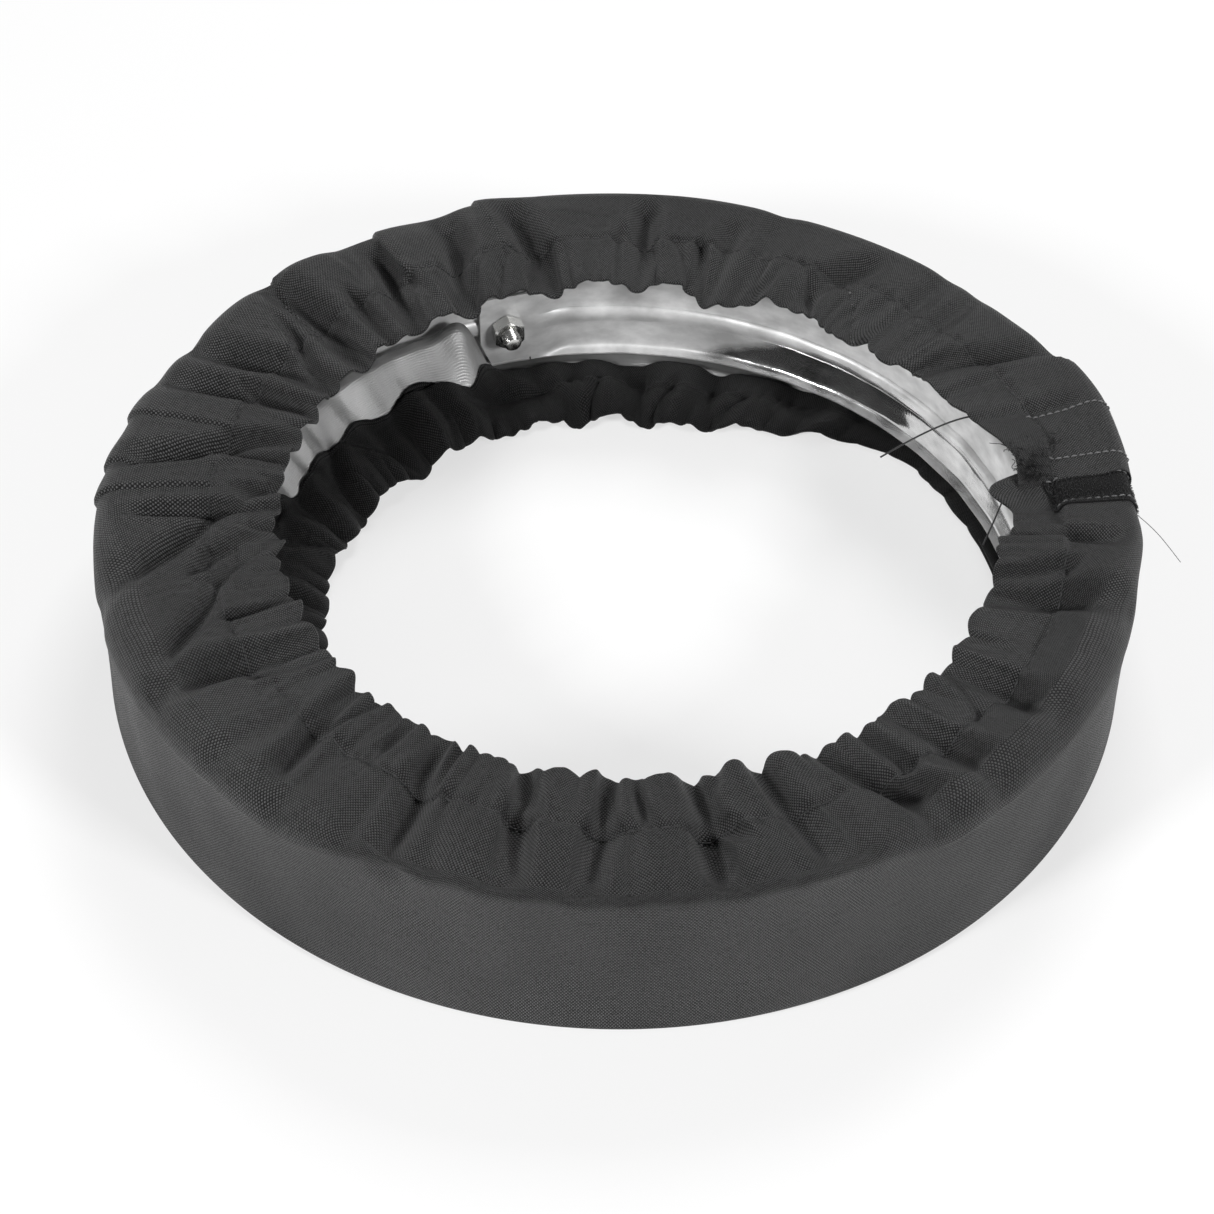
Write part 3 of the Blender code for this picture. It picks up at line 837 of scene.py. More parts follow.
def tubes_object(name, lines, radius, material, sides=6):
    """Many thin round threads of the same point count as one mesh. radius is one value a point."""
    n, k = lines.shape[:2]
    along = unit(np.gradient(lines, axis=1))
    side = unit(np.cross(along, TUBE_SIDE))
    up = np.cross(side, along)
    radius = np.broadcast_to(radius, (n, k))
    turn = TURN * np.arange(sides) / sides
    ring = side[:, :, None] * np.cos(turn)[:, None] + up[:, :, None] * np.sin(turn)[:, None]
    points = lines[:, :, None] + radius[:, :, None, None] * ring
    index = np.arange(n * k * sides).reshape(n, k, sides)
    near, far = index[:, :-1], index[:, 1:]
    walls = np.stack([near, np.roll(near, -1, 2), np.roll(far, -1, 2), far], axis=-1).reshape(-1, 4)
    ends = []
    for at, flip in ((0, 1), (k - 1, -1)):
        loop = index[:, at, ::-flip]
        for first in range(1, sides - 2, 2):
            ends.append(loop[:, [0, first, first + 1, first + 2]])
    return add_object(name, mesh_from(name, points, np.concatenate([walls] + ends)), material)


def lathe_object(name, rings, place, material):
    """A turned or hexagonal solid from rings of (radius, height), each an array round the axis."""
    count = LATHE_COLUMNS
    turn = TURN * np.arange(count) / count
    points = []
    for radius, height in rings:
        points.append(ring_points(turn, radius, np.broadcast_to(height, (count,))))
    index = np.arange(len(rings) * count).reshape(len(rings), count)
    wrap = np.concatenate([index, index[:, :1]], axis=1)
    wrap = np.concatenate([wrap, wrap[:1]], axis=0)
    mesh = mesh_from(name, np.concatenate(points), grid_quads(wrap)[:, ::-1])
    mesh.transform(place)
    mesh.set_sharp_from_angle(angle=LATHE_SHARP)
    return add_object(name, mesh, material)


# Materials
def new_material(name, colour, roughness, metallic=0.0, specular=0.5, **more):
    made = bpy.data.materials.new(name)
    made.use_nodes = True
    shader = made.node_tree.nodes["Principled BSDF"]
    shader.inputs["Base Color"].default_value = (*colour, 1.0)
    shader.inputs["Roughness"].default_value = roughness
    shader.inputs["Metallic"].default_value = metallic
    shader.inputs["Specular IOR Level"].default_value = specular
    for socket, value in more.items():
        shader.inputs[socket.replace("_", " ").title()].default_value = value
    return made


def shade(colour, depth):
    return (*(depth * part for part in colour), 1.0)


def grey(value):
    return (value, value, value, 1.0)


class Nodes:
    """Short calls for building a material's node tree."""

    def __init__(self, material):
        self.tree = material.node_tree
        self.shader = self.tree.nodes["Principled BSDF"]

    def feed(self, socket, value):
        if hasattr(value, "is_output"):
            self.tree.links.new(value, socket)
        else:
            socket.default_value = value

    def set(self, name, value):
        """Feed one of the shader's own sockets."""
        self.feed(self.shader.inputs[name], value)

    def add(self, kind, sockets, **settings):
        """A new node's outputs. sockets holds what each input is fed, by name or number."""
        node = self.tree.nodes.new(kind)
        for name, value in settings.items():
            setattr(node, name, value)
        for socket, value in sockets.items():
            self.feed(node.inputs[socket], value)
        return node.outputs

    def math(self, operation, a, b=0.0):
        return self.add("ShaderNodeMath", {0: a, 1: b}, operation=operation)[0]

    def times(self, a, b):
        return self.math("MULTIPLY", a, b)

    def mix(self, share, a, b, kind="RGBA"):
        return self.add("ShaderNodeMix", {"Factor": share, "A": a, "B": b}, data_type=kind)["Result"]

    def span(self, value, low, high, to_low, to_high):
        """Map a value from one range to another."""
        ends = {"From Min": low, "From Max": high, "To Min": to_low, "To Max": to_high}
        return self.add("ShaderNodeMapRange", {"Value": value, **ends})["Result"]

    def noise(self, vector, scale, detail=2.0, stretch=None):
        if stretch:
            vector = self.add("ShaderNodeMapping", {"Scale": stretch, "Vector": vector})["Vector"]
        return self.add("ShaderNodeTexNoise", {"Vector": vector, "Scale": scale, "Detail": detail})["Fac"]

    def bump(self, height, distance, strength=1.0, under=None):
        sockets = {"Height": height, "Distance": distance, "Strength": strength}
        if under is not None:
            sockets["Normal"] = under
        return self.add("ShaderNodeBump", sockets)["Normal"]

    def wander(self, vector, scale, reach):
        """A vector moved about by slow noise."""
        noise = self.add("ShaderNodeTexNoise", {"Vector": vector, "Scale": scale})["Color"]
        moved = {0: noise, 1: (reach, reach, reach), 2: vector}
        return self.add("ShaderNodeVectorMath", moved, operation="MULTIPLY_ADD")[0]

    def parts(self, vector):
        return self.add("ShaderNodeSeparateXYZ", {0: vector})

    def flat(self):
        return self.add("ShaderNodeUVMap", {}, uv_map="flat")["UV"]

    def place(self):
        return self.add("ShaderNodeTexCoord", {})["Object"]


def weave_height(nodes, pitch):
    """Plain weave from the flat layout: warp and weft pass over and under each other."""
    along, across, _ = nodes.parts(nodes.wander(nodes.flat(), 130.0, 0.7 * MM))
    warp = nodes.math("SINE", nodes.times(along, math.pi / pitch))
    weft = nodes.math("SINE", nodes.times(across, math.pi / (WEAVE_ASPECT * pitch)))
    over = nodes.math("GREATER_THAN", nodes.times(warp, weft), 0.0)
    warp, weft = nodes.math("ABSOLUTE", warp), nodes.math("ABSOLUTE", weft)
    warp_top = nodes.times(warp, nodes.math("SQRT", weft))
    weft_top = nodes.times(weft, nodes.math("SQRT", warp))
    return nodes.mix(over, warp_top, weft_top, "FLOAT"), over


def oxford_material(name, depth):
    """Woven fabric, painted lighter on its thread tops and darker in the gaps between them. depth scales its
    colour and its shine: below 1 the copy is darker and duller, which paints shade.
    """
    shine = {"specular": 0.26 * depth, "sheen_weight": 0.1 * depth, "sheen_roughness": 0.4}
    made = new_material(name, (0.05, 0.05, 0.052), 0.62, **shine)
    nodes = Nodes(made)
    height, over = weave_height(nodes, WEAVE_PITCH)
    slub = nodes.noise(nodes.flat(), 900.0, 1.0, (1.0, 0.5, 1.0))
    # Painted highlight on the thread tops and on the yarn that lies over, painted shade in the gaps, with
    # random slub
    painted_relief_shade_and_fleck = nodes.times(height, nodes.span(slub, 0.3, 0.7, 0.5, 1.4))
    painted_relief_shade_and_fleck = nodes.times(painted_relief_shade_and_fleck, nodes.span(over, 0.0, 1.0, 0.3, 1.7))
    worn = nodes.noise(nodes.flat(), 16.0, 4.0)
    low, high = shade(YARN_LOW, depth), shade(YARN_HIGH, depth)
    pale = nodes.mix(nodes.span(worn, 0.35, 0.7, 0.0, 1.0), low, high)
    nodes.set("Base Color", nodes.mix(nodes.span(painted_relief_shade_and_fleck, 0.25, 0.95, 0.0, 1.0), YARN_GAP_PAINTED_SHADE, pale))
    nodes.set("Roughness", nodes.span(worn, 0.3, 0.7, 0.58, 0.46))
    crease = nodes.math("ABSOLUTE", nodes.math("SUBTRACT", nodes.noise(nodes.flat(), 55.0, 3.0), 0.5))
    soft = nodes.bump(crease, 0.0016, 0.4)
    nodes.set("Normal", nodes.bump(height, 0.0003, 1.0, soft))
    return made


def lining_material():
    made = new_material("silver_coating", (0.5, 0.5, 0.5), 0.4, 0.55)
    nodes = Nodes(made)
    height, _ = weave_height(nodes, WEAVE_PITCH)
    rub = nodes.noise(nodes.flat(), 24.0, 5.0)
    nodes.set("Base Color", nodes.mix(nodes.span(rub, 0.3, 0.7, 0.0, 1.0), grey(0.28), grey(0.5)))
    nodes.set("Roughness", nodes.span(rub, 0.3, 0.7, 0.5, 0.34))
    soft = nodes.bump(nodes.noise(nodes.flat(), 110.0, 3.0), 0.001, 0.4)
    nodes.set("Normal", nodes.bump(height, 0.00015, 0.6, soft))
    return made


def steel_material():
    """Rolled sheet, dull and clouded, but smooth enough to mirror on the right below the bead."""
    made = new_material("rolled_steel", (0.8, 0.8, 0.8), 0.5, 0.45)
    nodes = Nodes(made)
    place = nodes.place()
    cloud = nodes.noise(place, 38.0, 5.0)
    grain = nodes.noise(place, 900.0, 3.0, (1.0, 1.0, 0.25))
    right, _, height = nodes.parts(nodes.wander(place, 60.0, 6.0 * MM))
    slanted = nodes.math("SUBTRACT", right, nodes.times(height, POLISH_SLANT))
    polish = nodes.span(slanted, *POLISH_FROM, 0.0, 1.0)
    polish = nodes.times(polish, nodes.span(height, *POLISH_LOW, 0.0, 1.0))
    polish = nodes.times(polish, nodes.span(height, *POLISH_HIGH, 1.0, 0.0))
    matte = nodes.span(cloud, 0.3, 0.7, 0.42, 0.58)
    nodes.set("Roughness", nodes.math("ADD", matte, nodes.times(polish, -0.4)))
    nodes.set("Metallic", nodes.span(polish, 0.0, 1.0, 0.45, 0.95))
    smear = nodes.noise(place, 75.0, 8.0, (1.0, 1.0, 1.8))
    nodes.set("Base Color", nodes.mix(nodes.span(smear, 0.34, 0.68, 0.0, 1.0), grey(0.56), grey(0.84)))
    soft = nodes.bump(nodes.noise(place, 55.0, 3.0), 0.0006, 0.35)
    nodes.set("Normal", nodes.bump(grain, 0.00006, 0.5, soft))
    return made


def zinc_material():
    made = new_material("zinc_plate", (0.72, 0.72, 0.7), 0.2, 1.0)
    nodes = Nodes(made)
    cloud = nodes.noise(nodes.place(), 420.0, 3.0)
    nodes.set("Roughness", nodes.span(cloud, 0.3, 0.7, 0.14, 0.3))
    nodes.set("Normal", nodes.bump(cloud, 0.0001, 0.3))
    return made


def thread_material(name, colour, shine=1.0):
    made = new_material(name, colour, 0.42, specular=0.5 * shine, sheen_weight=0.2 * shine)
    nodes = Nodes(made)
    twist = nodes.noise(nodes.place(), 2600.0, 1.0)
    nodes.set("Base Color", nodes.mix(twist, shade(colour, 0.55), shade(colour, 1.35)))
    return made


def ribbed_material(name, colour, pitch, shine=1.0):
    """Woven or knitted tape with ribs along its length, its colour painted darker in the hollows between the
    ribs as shade.
    """
    made = new_material(name, colour, 0.85, specular=0.5 * shine, sheen_weight=0.3 * shine)
    nodes = Nodes(made)
    across = nodes.times(nodes.parts(nodes.flat())[1], math.pi / pitch)
    rib = nodes.math("ABSOLUTE", nodes.math("SINE", across))
    fleck = nodes.noise(nodes.flat(), 1500.0, 2.0)
    # Painted shade in the rib hollows, with random flecks; the same values give the ribs' bump
    painted_relief_shade_and_fleck = nodes.times(rib, nodes.span(fleck, 0.3, 0.7, 0.6, 1.1))
    nodes.set("Base Color", nodes.mix(painted_relief_shade_and_fleck, shade(colour, 0.4), shade(colour, 1.0)))
    nodes.set("Normal", nodes.bump(painted_relief_shade_and_fleck, 0.0003, 0.8))
    return made


# Fabric: finished grid from the relaxed strip
def refine(points):
    """Twice as many columns, on smooth curves through the old ones."""
    padded = np.concatenate([2 * points[:1] - points[1:2], points, 2 * points[-1:] - points[-2:-1]])
    middle = (9.0 * (padded[1:-2] + padded[2:-1]) - padded[:-3] - padded[3:]) / 16.0
    fine = np.empty((2 * len(points) - 1, *points.shape[1:]))
    fine[0::2] = points
    fine[1::2] = middle
    return fine


def fold_room(points, normal):
    """How far in a second layer may lie before it runs into the other side of a sharp fold."""
    gap, turned = points[2:] - points[:-2], normal[2:] - normal[:-2]
    rate = (gap * turned).sum(-1) / ((gap * gap).sum(-1) + 1e-12)
    room = ROOM_SHARE / np.maximum(rate, 1.0)
    room = np.clip(np.concatenate([room[:1], room, room[-1:]]), *ROOM)
    return local_mean(room, 1)


def turned_layer(points, normal, count, reach, full):
    """The hem's turned-in layer on the inner side, from the edge back to a row that reach scales.

    Returns the layer, and the places half way to it where the elastic lies.
    """
    outwards = points[:, 0] - points[:, 1]
    outwards /= np.linalg.norm(outwards, axis=-1, keepdims=True)
    gap = LAYER_GAP * (0.55 + 0.45 * full)[:, None]
    half = 0.5 * gap
    room = fold_room(points, normal)
    rows, middle = [], []
    for angle in (0.35, 0.65):
        turn = math.pi * angle
        under = half * (1.0 - math.cos(turn)) * normal[:, 0]
        rows.append(points[:, 0] + half * math.sin(turn) * outwards - under)
    pick = np.arange(len(points))
    for row in range(1, count + 1):
        at = row * reach
        low = np.floor(at).astype(int)
        share = (at - low)[:, None]
        base = points[pick, low] * (1.0 - share) + points[pick, low + 1] * share
        puff = math.sin(math.pi * min(row / ROWS["casing"], 1.0))
        away = np.minimum(gap + LAYER_PUFF * puff * full[:, None], room[pick, low][:, None])
        rows.append(base - away * normal[pick, low])
        middle.append(base - 0.5 * away * normal[pick, low])
    return np.stack(rows, axis=1), np.stack(middle, axis=1)


def fine_waves(turn, count, rng):
    """Small uneven waves of height 1."""
    wave = lobes(turn, count, 0.7, rng)
    return wave / np.abs(wave).max()


def ripple_mask(turn, rng):
    """Where fine ripples are strong, as a slow wander round the ring."""
    return 0.45 + 0.9 * fine_waves(turn, RIPPLES, rng)


def soften(points):
    """Take out the smallest zigzags along the strip."""
    points = points.copy()
    points[1:-1] = 0.25 * points[:-2] + 0.5 * points[1:-1] + 0.25 * points[2:]
    return points


def eased_shoulder(points):
    """Ease small creases where the cloth goes round the upper shoulder."""
    row, edge = np.arange(points.shape[1]), ROWS["casing"] + ROWS["flap"]
    share = within((edge - 3, edge + 1), (edge + 7, edge + 12), row)[:, None]
    return points * (1.0 - share) + local_mean(points, 4) * share


def grooves(rows, turn, spot, inwards):
    """Depth of grooves across the cloth. Each is its angle at both ends, its depth and its width."""
    deep = np.zeros_like(spot)
    for outer, inner, depth, wide in rows:
        away = np.radians(turn - outer - (inner - outer) * inwards) * spot / (wide * MM)
        deep += depth * MM * np.exp(-(away**2))
    return deep


def laid_folds(turn, spot, row):
    """Rise of the upper flap's big folds: laps at the left and back, troughs at the front."""
    turn = np.degrees(turn)
    inwards = np.clip((COVER_R - spot) / FOLD_SPAN, 0.0, 1.4)
    seam, edge = ROWS["casing"], ROWS["casing"] + ROWS["flap"]
    rise = np.zeros_like(spot)
    for outer, inner, high, length in LAPS:
        line = outer + (inner - outer) * inwards
        lap = smooth(line - length, line, turn) * (1.0 - smooth(line, line + LAP_EDGE, turn))
        rise += high * MM * within((seam - 6, seam + 2), (edge + 4, edge + 14), row) * lap
    down = within((seam - 5, seam + 3), (edge, edge + 8), row)
    return rise - down * grooves(TROUGHS, turn, spot, inwards)


def casing_creases(turn, spot, row):
    """Depth of the creases that cross the upper casing at the back."""
    seam = ROWS["casing"]
    inwards = np.clip((seam - row) / seam, 0.0, 1.0)
    down = 1.0 - smooth(seam - 5, seam + 2, row)
    return down * grooves(CREASES, np.degrees(turn), spot, inwards)


def hem_lobes(turn, row):
    """How far the upper hem bulges inwards in its big lobes at the back."""
    reach = np.zeros_like(turn)
    for at, high, half in HEM_LOBES:
        reach += high * MM * np.clip(1.0 - ((np.degrees(turn) - at) / half) ** 2, 0.0, 1.0)
    return reach * (1.0 - smooth(0, ROWS["casing"], row))


def root_step(turn, spot, row):
    """Rise of the flap's root over the gathers beside it, on the upper part of the section."""
    root = np.radians(ROOT_DEG + np.clip(ROOT_R - spot / MM, 0.0, ROOT_REACH) / ROOT_SLANT)
    step = (1.0 - smooth(root, root + ROOT_EDGE, turn)) * smooth(*ROOT_FADE, turn)
    middle = len(row) // 2
    return ROOT_STEP * step * (1.0 - smooth(middle - 16, middle + 6, row))


def inward(turn):
    return -ring_points(turn, 1.0, 0.0 * turn)[:, None]


def draw_seam(points, normal, across, turn, seam, rng):
    """Draw the cloth in along one line of stitches, and gather and swell the casing beyond it."""
    upper = seam < points.shape[1] // 2
    away = across - across[:, seam : seam + 1]
    raised = points[:, seam, 2] - local_mean(points[:, seam, 2], MEAN_SEAM)
    shallow = SEAM_SHALLOW + (1.0 - SEAM_SHALLOW) * smooth(-SEAM_VALLEY, 0.0, raised)[:, None]
    dip = SEAM_DIP * shallow * np.exp(-((away / SEAM_DIP_WIDTH) ** 2))
    gather = gathered(turn) * np.clip(ripple_mask(turn, rng), LEAST_RIPPLE, 1.0)
    calm = 1.0 if upper else 1.0 - STANDING_CALM * standing(turn)
    pucker = PUCKER * fine_waves(turn, PUCKERS, rng) * gather * calm
    dip += shallow * pucker[:, None] * np.exp(-((away / PUCKER_REACH) ** 2))
    inside = np.clip(np.where(upper, -away, away) / CASING, 0.0, 1.0)
    if upper:
        puffed = np.sin(math.pi * np.clip(1.25 * inside, 0.0, 1.0)) ** 0.7 * (inside > 0.0)
        ruche = RUCHE * (RUCHE_SHARES[0] * puffed + RUCHE_SHARES[1] * smooth(0.1, 1.0, inside))
    else:
        ruche = RUCHE_LOWER * smooth(0.3, 1.0, inside)
    waves = fine_waves(turn, RUCHES if upper else RUCHES_LOWER, rng)
    dip += (waves * gather)[:, None] * ruche
    lump = np.abs(lobes(turn, HEM_LUMPS, 0.6, rng))
    lump = (gathered(turn) * (lump / lump.max() - HEM_LEVEL))[:, None] * smooth(0.1, 1.0, inside)
    points = points - dip[..., None] * normal + HEM_SWELL * lump[..., None] * inward(turn)
    points[..., 2] += HEM_RISE * lump
    return points


def full_grid(strip):
    """The strip with seams drawn in, big folds laid on and hems turned over, and its flat layout."""
    points = eased_shoulder(refine(soften(strip.points)))
    row = np.arange(points.shape[1])
    rng = np.random.default_rng(SEED + 1)
    normal = normals_of(local_mean(points, 3))
    across = refine(running(strip.rest_v, 1))
    turn = refine(strip.turn[:, None])[:, 0]
    for seam in (ROWS["casing"], len(row) - 1 - ROWS["casing"]):
        points = draw_seam(points, normal, across, turn, seam, rng)
    spot, column = np.hypot(points[..., 0], points[..., 1]), turn[:, None]
    lift = root_step(column, spot, row) + laid_folds(column, spot, row)
    lift -= casing_creases(column, spot, row)
    points = points + lift[..., None] * normal + hem_lobes(column, row)[..., None] * inward(turn)
    points[..., 2] = np.maximum(points[..., 2], FLOOR_GAP)
    normal = normals_of(local_mean(points, 2))
    wavy = lobes(turn, LOWER_TURN_WAVES, 0.5, rng)
    wavy = LOWER_TURN_WAVE * wavy / np.abs(wavy).max() - LOWER_TURN_LESS
    full = within(PUFF_FROM, PUFF_TO, turn)
    upper, upper_middle = turned_layer(points, normal, TURN_UPPER, np.ones(len(turn)), full)
    reach = 1.0 + wavy * standing(turn)
    lower, lower_middle = turned_layer(points[:, ::-1], normal[:, ::-1], TURN_LOWER, reach, full)
    grid = np.concatenate([upper[:, ::-1], points, lower], axis=1)
    step = np.linalg.norm(np.diff(grid, axis=1), axis=-1).mean(axis=0)
    flat = np.stack(np.broadcast_arrays(COVER_R * column, running(step)), axis=-1)
    return grid, flat, upper_middle, lower_middle


def capsule_lines(path, normal, pitch, length, rise):
    """Short stitches along a path of points: each rises out of the cloth and dips back into it."""
    along = running(np.linalg.norm(np.diff(path, axis=0), axis=-1))
    starts = np.arange(0.5 * pitch, along[-1] - pitch, pitch)
    share = np.linspace(0.0, 1.0, 6)
    at = starts[:, None] + length * share
    line = np.stack([np.interp(at, along, path[:, axis]) for axis in range(3)], axis=-1)
    lift = np.stack([np.interp(at, along, normal[:, axis]) for axis in range(3)], axis=-1)
    return line + (rise * (np.sin(math.pi * share) - 0.35))[:, None] * lift


def make_fabric(skins, thread):
    strip = make_strip()
    grid, flat, *middles = full_grid(strip)
    turn = flat[:, 0, 0] / COVER_R
    split = int(np.searchsorted(turn, SPLIT))
    main = sheet_object("cover_fabric", grid[split:], flat[split:], FABRIC, skins, open_first=True)
    end = slice(0, split + 1)
    flap = sheet_object("closure_flap_fabric", grid[end], flat[end], FABRIC, skins, open_last=True)
    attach(main, "cover")
    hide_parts("cover_strip", "upper_casing", "lower_casing")
    normal = normals_of(grid)
    last = grid.shape[1] - TURN_LOWER - 3
    sewn = {"main": [], "flap": []}
    for seam in (UPPER_FIRST + ROWS["casing"], last - ROWS["casing"]):
        for name, part in (("main", slice(split, None)), ("flap", slice(0, split))):
            for face in (0.5, -0.5):
                side = normal[part, seam]
                path = grid[part, seam] + face * FABRIC * side
                rise = STITCH_RISE if face > 0 else -STITCH_RISE
                sewn[name].append(capsule_lines(path, side, STITCH_PITCH, STITCH_LENGTH, rise))
    sewn = {name: np.concatenate(lines) for name, lines in sewn.items()}
    for lines in sewn.values():
        lines[..., 2] = np.maximum(lines[..., 2], STITCH_FLOOR)
    taper = STITCH_R * STITCH_TAPER
    stitches = tubes_object("seam_stitches", sewn["main"], taper, thread)
    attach(stitches, "cover")
    flap_stitches = tubes_object("flap_stitches", sewn["flap"], taper, thread)
    for piece in (flap, flap_stitches):
        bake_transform(piece)
    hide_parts("closure_flap")
    return grid, flat, middles


# Elastic and closure tapes
def column_at(flat, degrees):
    return int(np.searchsorted(flat[:, 0, 0] / COVER_R, math.radians(degrees)))


def make_elastic(name, middle, flat, material):
    """Flat elastic half way between the two layers of a casing."""
    part = slice(*(column_at(flat, degrees) for degrees in ELASTIC_SPAN))
    band = sheet_object(name, middle[part, ELASTIC_ROWS], flat[part, ELASTIC_ROWS], ELASTIC, (material,))
    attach(band, "cover")
    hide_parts(name.replace("_band", ""))


def tape_grid(grid, flat, span, side):
    part = slice(*(column_at(flat, degrees) for degrees in span))
    points = local_mean(grid[part, TAPE_ROWS], 2)
    offset = side * (0.5 * FABRIC + 0.5 * TAPE + TAPE_GAP)
    return points + offset * normals_of(points), flat[part, TAPE_ROWS]


def pile_lines(points, side, count, reach, rng):
    """Fine loops or hooks standing on a tape."""
    n, m = points.shape[:2]
    at = rng.integers(0, n - 1, count), rng.integers(0, m - 1, count)
    up = side * normals_of(points)[at]
    mix = rng.uniform(0.0, 1.0, (count, 1))
    base = points[at] * (1.0 - mix) + points[at[0] + 1, at[1] + 1] * mix + 0.5 * TAPE * up
    lean = rng.normal(0.0, 1.0, (count, 3))
    lean = unit(lean - (lean * up).sum(1, keepdims=True) * up)
    share = np.linspace(0.0, 1.0, 5)[None, :, None]
    height = (reach * rng.uniform(0.5, 1.0, (count, 1, 1))) * np.sin(PILE_ARCH * share)
    return base[:, None] + (height - PILE_SINK) * up[:, None] + PILE_LEAN * reach * share * lean[:, None]


def make_tapes(grid, flat, pale):
    material = ribbed_material("black_tape", (0.007, 0.007, 0.0074), 0.9 * MM, DULL)
    fibre = thread_material("pile_fibre", (0.04, 0.04, 0.041), DULL)
    rng = np.random.default_rng(SEED + 2)
    for name, span, side, body, count, reach in PILES:
        points, layout = tape_grid(grid, flat, span, side)
        tape = sheet_object(name, points, layout, TAPE, (material,))
        lines = pile_lines(points, side, count, reach, rng)
        pile = tubes_object(name + "_loops", lines, PILE_R, fibre, 4)
        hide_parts(name.replace("_pile", ""))
        for piece in (tape, pile):
            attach(piece, body)
    normal = normals_of(grid)
    for name, body, spans, lift in (
        ("tape_stitches", "cover", LOOP_STITCHES, 0.5 * FABRIC + TAPE + 0.25 * MM),
        ("hook_stitches", "flap", FLAP_STITCHES, 0.5 * FABRIC + 0.2 * MM),
    ):
        lines = []
        for degrees in spans:
            column = column_at(flat, degrees)
            side = normal[column, TAPE_ROWS]
            path = grid[column, TAPE_ROWS] + lift * side
            lines.append(capsule_lines(path, side, TAPE_STITCH_PITCH, TAPE_STITCH_LENGTH, STITCH_RISE))
        sewn = tubes_object(name, np.concatenate(lines), STITCH_R * STITCH_TAPER, pale)
        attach(sewn, body)


# Hoop
def hoop_profile():
    """Middle line of the rolled section from the turned-down rim to the lip, with eased corners."""
    edge, top, foot = HOOP_EDGE_R, HOOP_TOP, HOOP_FOOT
    points = [
        (edge, top - RIM_DROP),
        (edge, top - 1.5 * SHEET),
        (edge - 1.5 * SHEET, top - 0.5 * SHEET),
        (WEB_R + 2.0 * SHEET, WEB_TOP + SHEET),
        (WEB_R, WEB_TOP - 1.5 * SHEET),
    ]
    for turn in np.linspace(0.0, math.pi, 7):
        points.append((WEB_R - BEAD_DEPTH * math.sin(turn), BOLT_Z + BEAD_HALF * math.cos(turn)))
    points += [
        (WEB_R, foot + 0.5 * LIP),
        (WEB_R - 0.3 * LIP, foot),
        (WEB_R - LIP, foot - 0.3 * LIP),
    ]
    line = np.array(points)
    for _ in range(2):
        cut = np.empty((2 * len(line), 2))
        cut[0], cut[-1] = line[0], line[-1]
        cut[1:-1:2] = 0.75 * line[:-1] + 0.25 * line[1:]
        cut[2:-1:2] = 0.25 * line[:-1] + 0.75 * line[1:]
        line = cut
    return line


def outward(radius):
    """Frame on the screw's axis with local Z pointing away from the ring's axis."""
    turn = math.radians(BOLT_DEG)
    place = Vector((radius * math.cos(turn), radius * math.sin(turn), BOLT_Z))
    return Matrix.Translation(place) @ Matrix.Rotation(turn, 4, "Z") @ Matrix.Rotation(0.5 * math.pi, 4, "Y")


def make_hoop(steel):
    """The rolled ring, whose web runs on past one end as a tongue and laps inside the other end."""
    slot = math.radians(BOLT_DEG - LAP_BEFORE)
    profile = hoop_profile()
    turn = np.linspace(slot + LAP_GAP, slot + TURN - LAP_GAP, HOOP_COLUMNS)[:, None]
    dent = DENTS[0] * np.sin(7.0 * turn + 1.0) * np.sin(23.0 * turn) + DENTS[1] * np.sin(41.0 * turn)
    dive = smooth(slot + TURN - LAP_DIVE, slot + TURN - 3.0 * LAP_GAP, turn)
    web = 1.0 - smooth(TONGUE_HIGH, TONGUE_HIGH + TONGUE_EASE, profile[:, 1])
    radius = profile[:, 0] + dent * (1.0 - dive)
    radius = radius - dive * web * np.maximum(0.0, radius - TONGUE_R)
    points = ring_points(turn, radius, np.broadcast_to(profile[:, 1], radius.shape))
    flat = np.stack(np.broadcast_arrays(turn * WEB_R, profile[:, 1]), axis=-1)
    hoop = sheet_object("hoop_sheet", points, flat, SHEET, (steel,))
    tip = math.radians(BOLT_DEG + LAP_AFTER)
    turn = np.linspace(slot - LAP_GAP, tip, TONGUE_COLUMNS)[:, None]
    low = np.maximum(TONGUE_LOW, TONGUE_CUT - TONGUE_SLOPE * (tip - turn) * TONGUE_R)
    height = low + (TONGUE_HIGH - low) * np.linspace(1.0, 0.0, TONGUE_LINES)
    points = ring_points(turn, np.full_like(height, TONGUE_R), height)
    flat = np.stack(np.broadcast_arrays(turn * WEB_R, height), axis=-1)
    tongue = sheet_object("hoop_tongue", points, flat, SHEET, (steel,))
    for piece in (hoop, tongue):
        piece.data.set_sharp_from_angle(angle=HOOP_SHARP)
        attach(piece, "cover")
    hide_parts("hoop")


# Screw, washer and nut
def hex_rings(height, hole=None):
    """Rings of a hexagon with eased corners, solid or round a chamfered bore."""
    turn = TURN * np.arange(LATHE_COLUMNS) / LATHE_COLUMNS
    corner = 0.5 * HEX_AF / np.cos((turn % (TURN / 6)) - TURN / 12)
    drop = np.maximum(0.0, corner - HEX_FACE) * HEX_SLOPE
    outer = [(HEX_FACE, 0.0), (corner, drop), (corner, height - drop), (HEX_FACE, height)]
    if hole:
        wide = hole + CHAMFER
        return outer + [(wide, height), (hole, height - CHAMFER), (hole, CHAMFER), (wide, 0.0)]
    return [(TINY, 0.0)] + outer + [(TINY, height)]


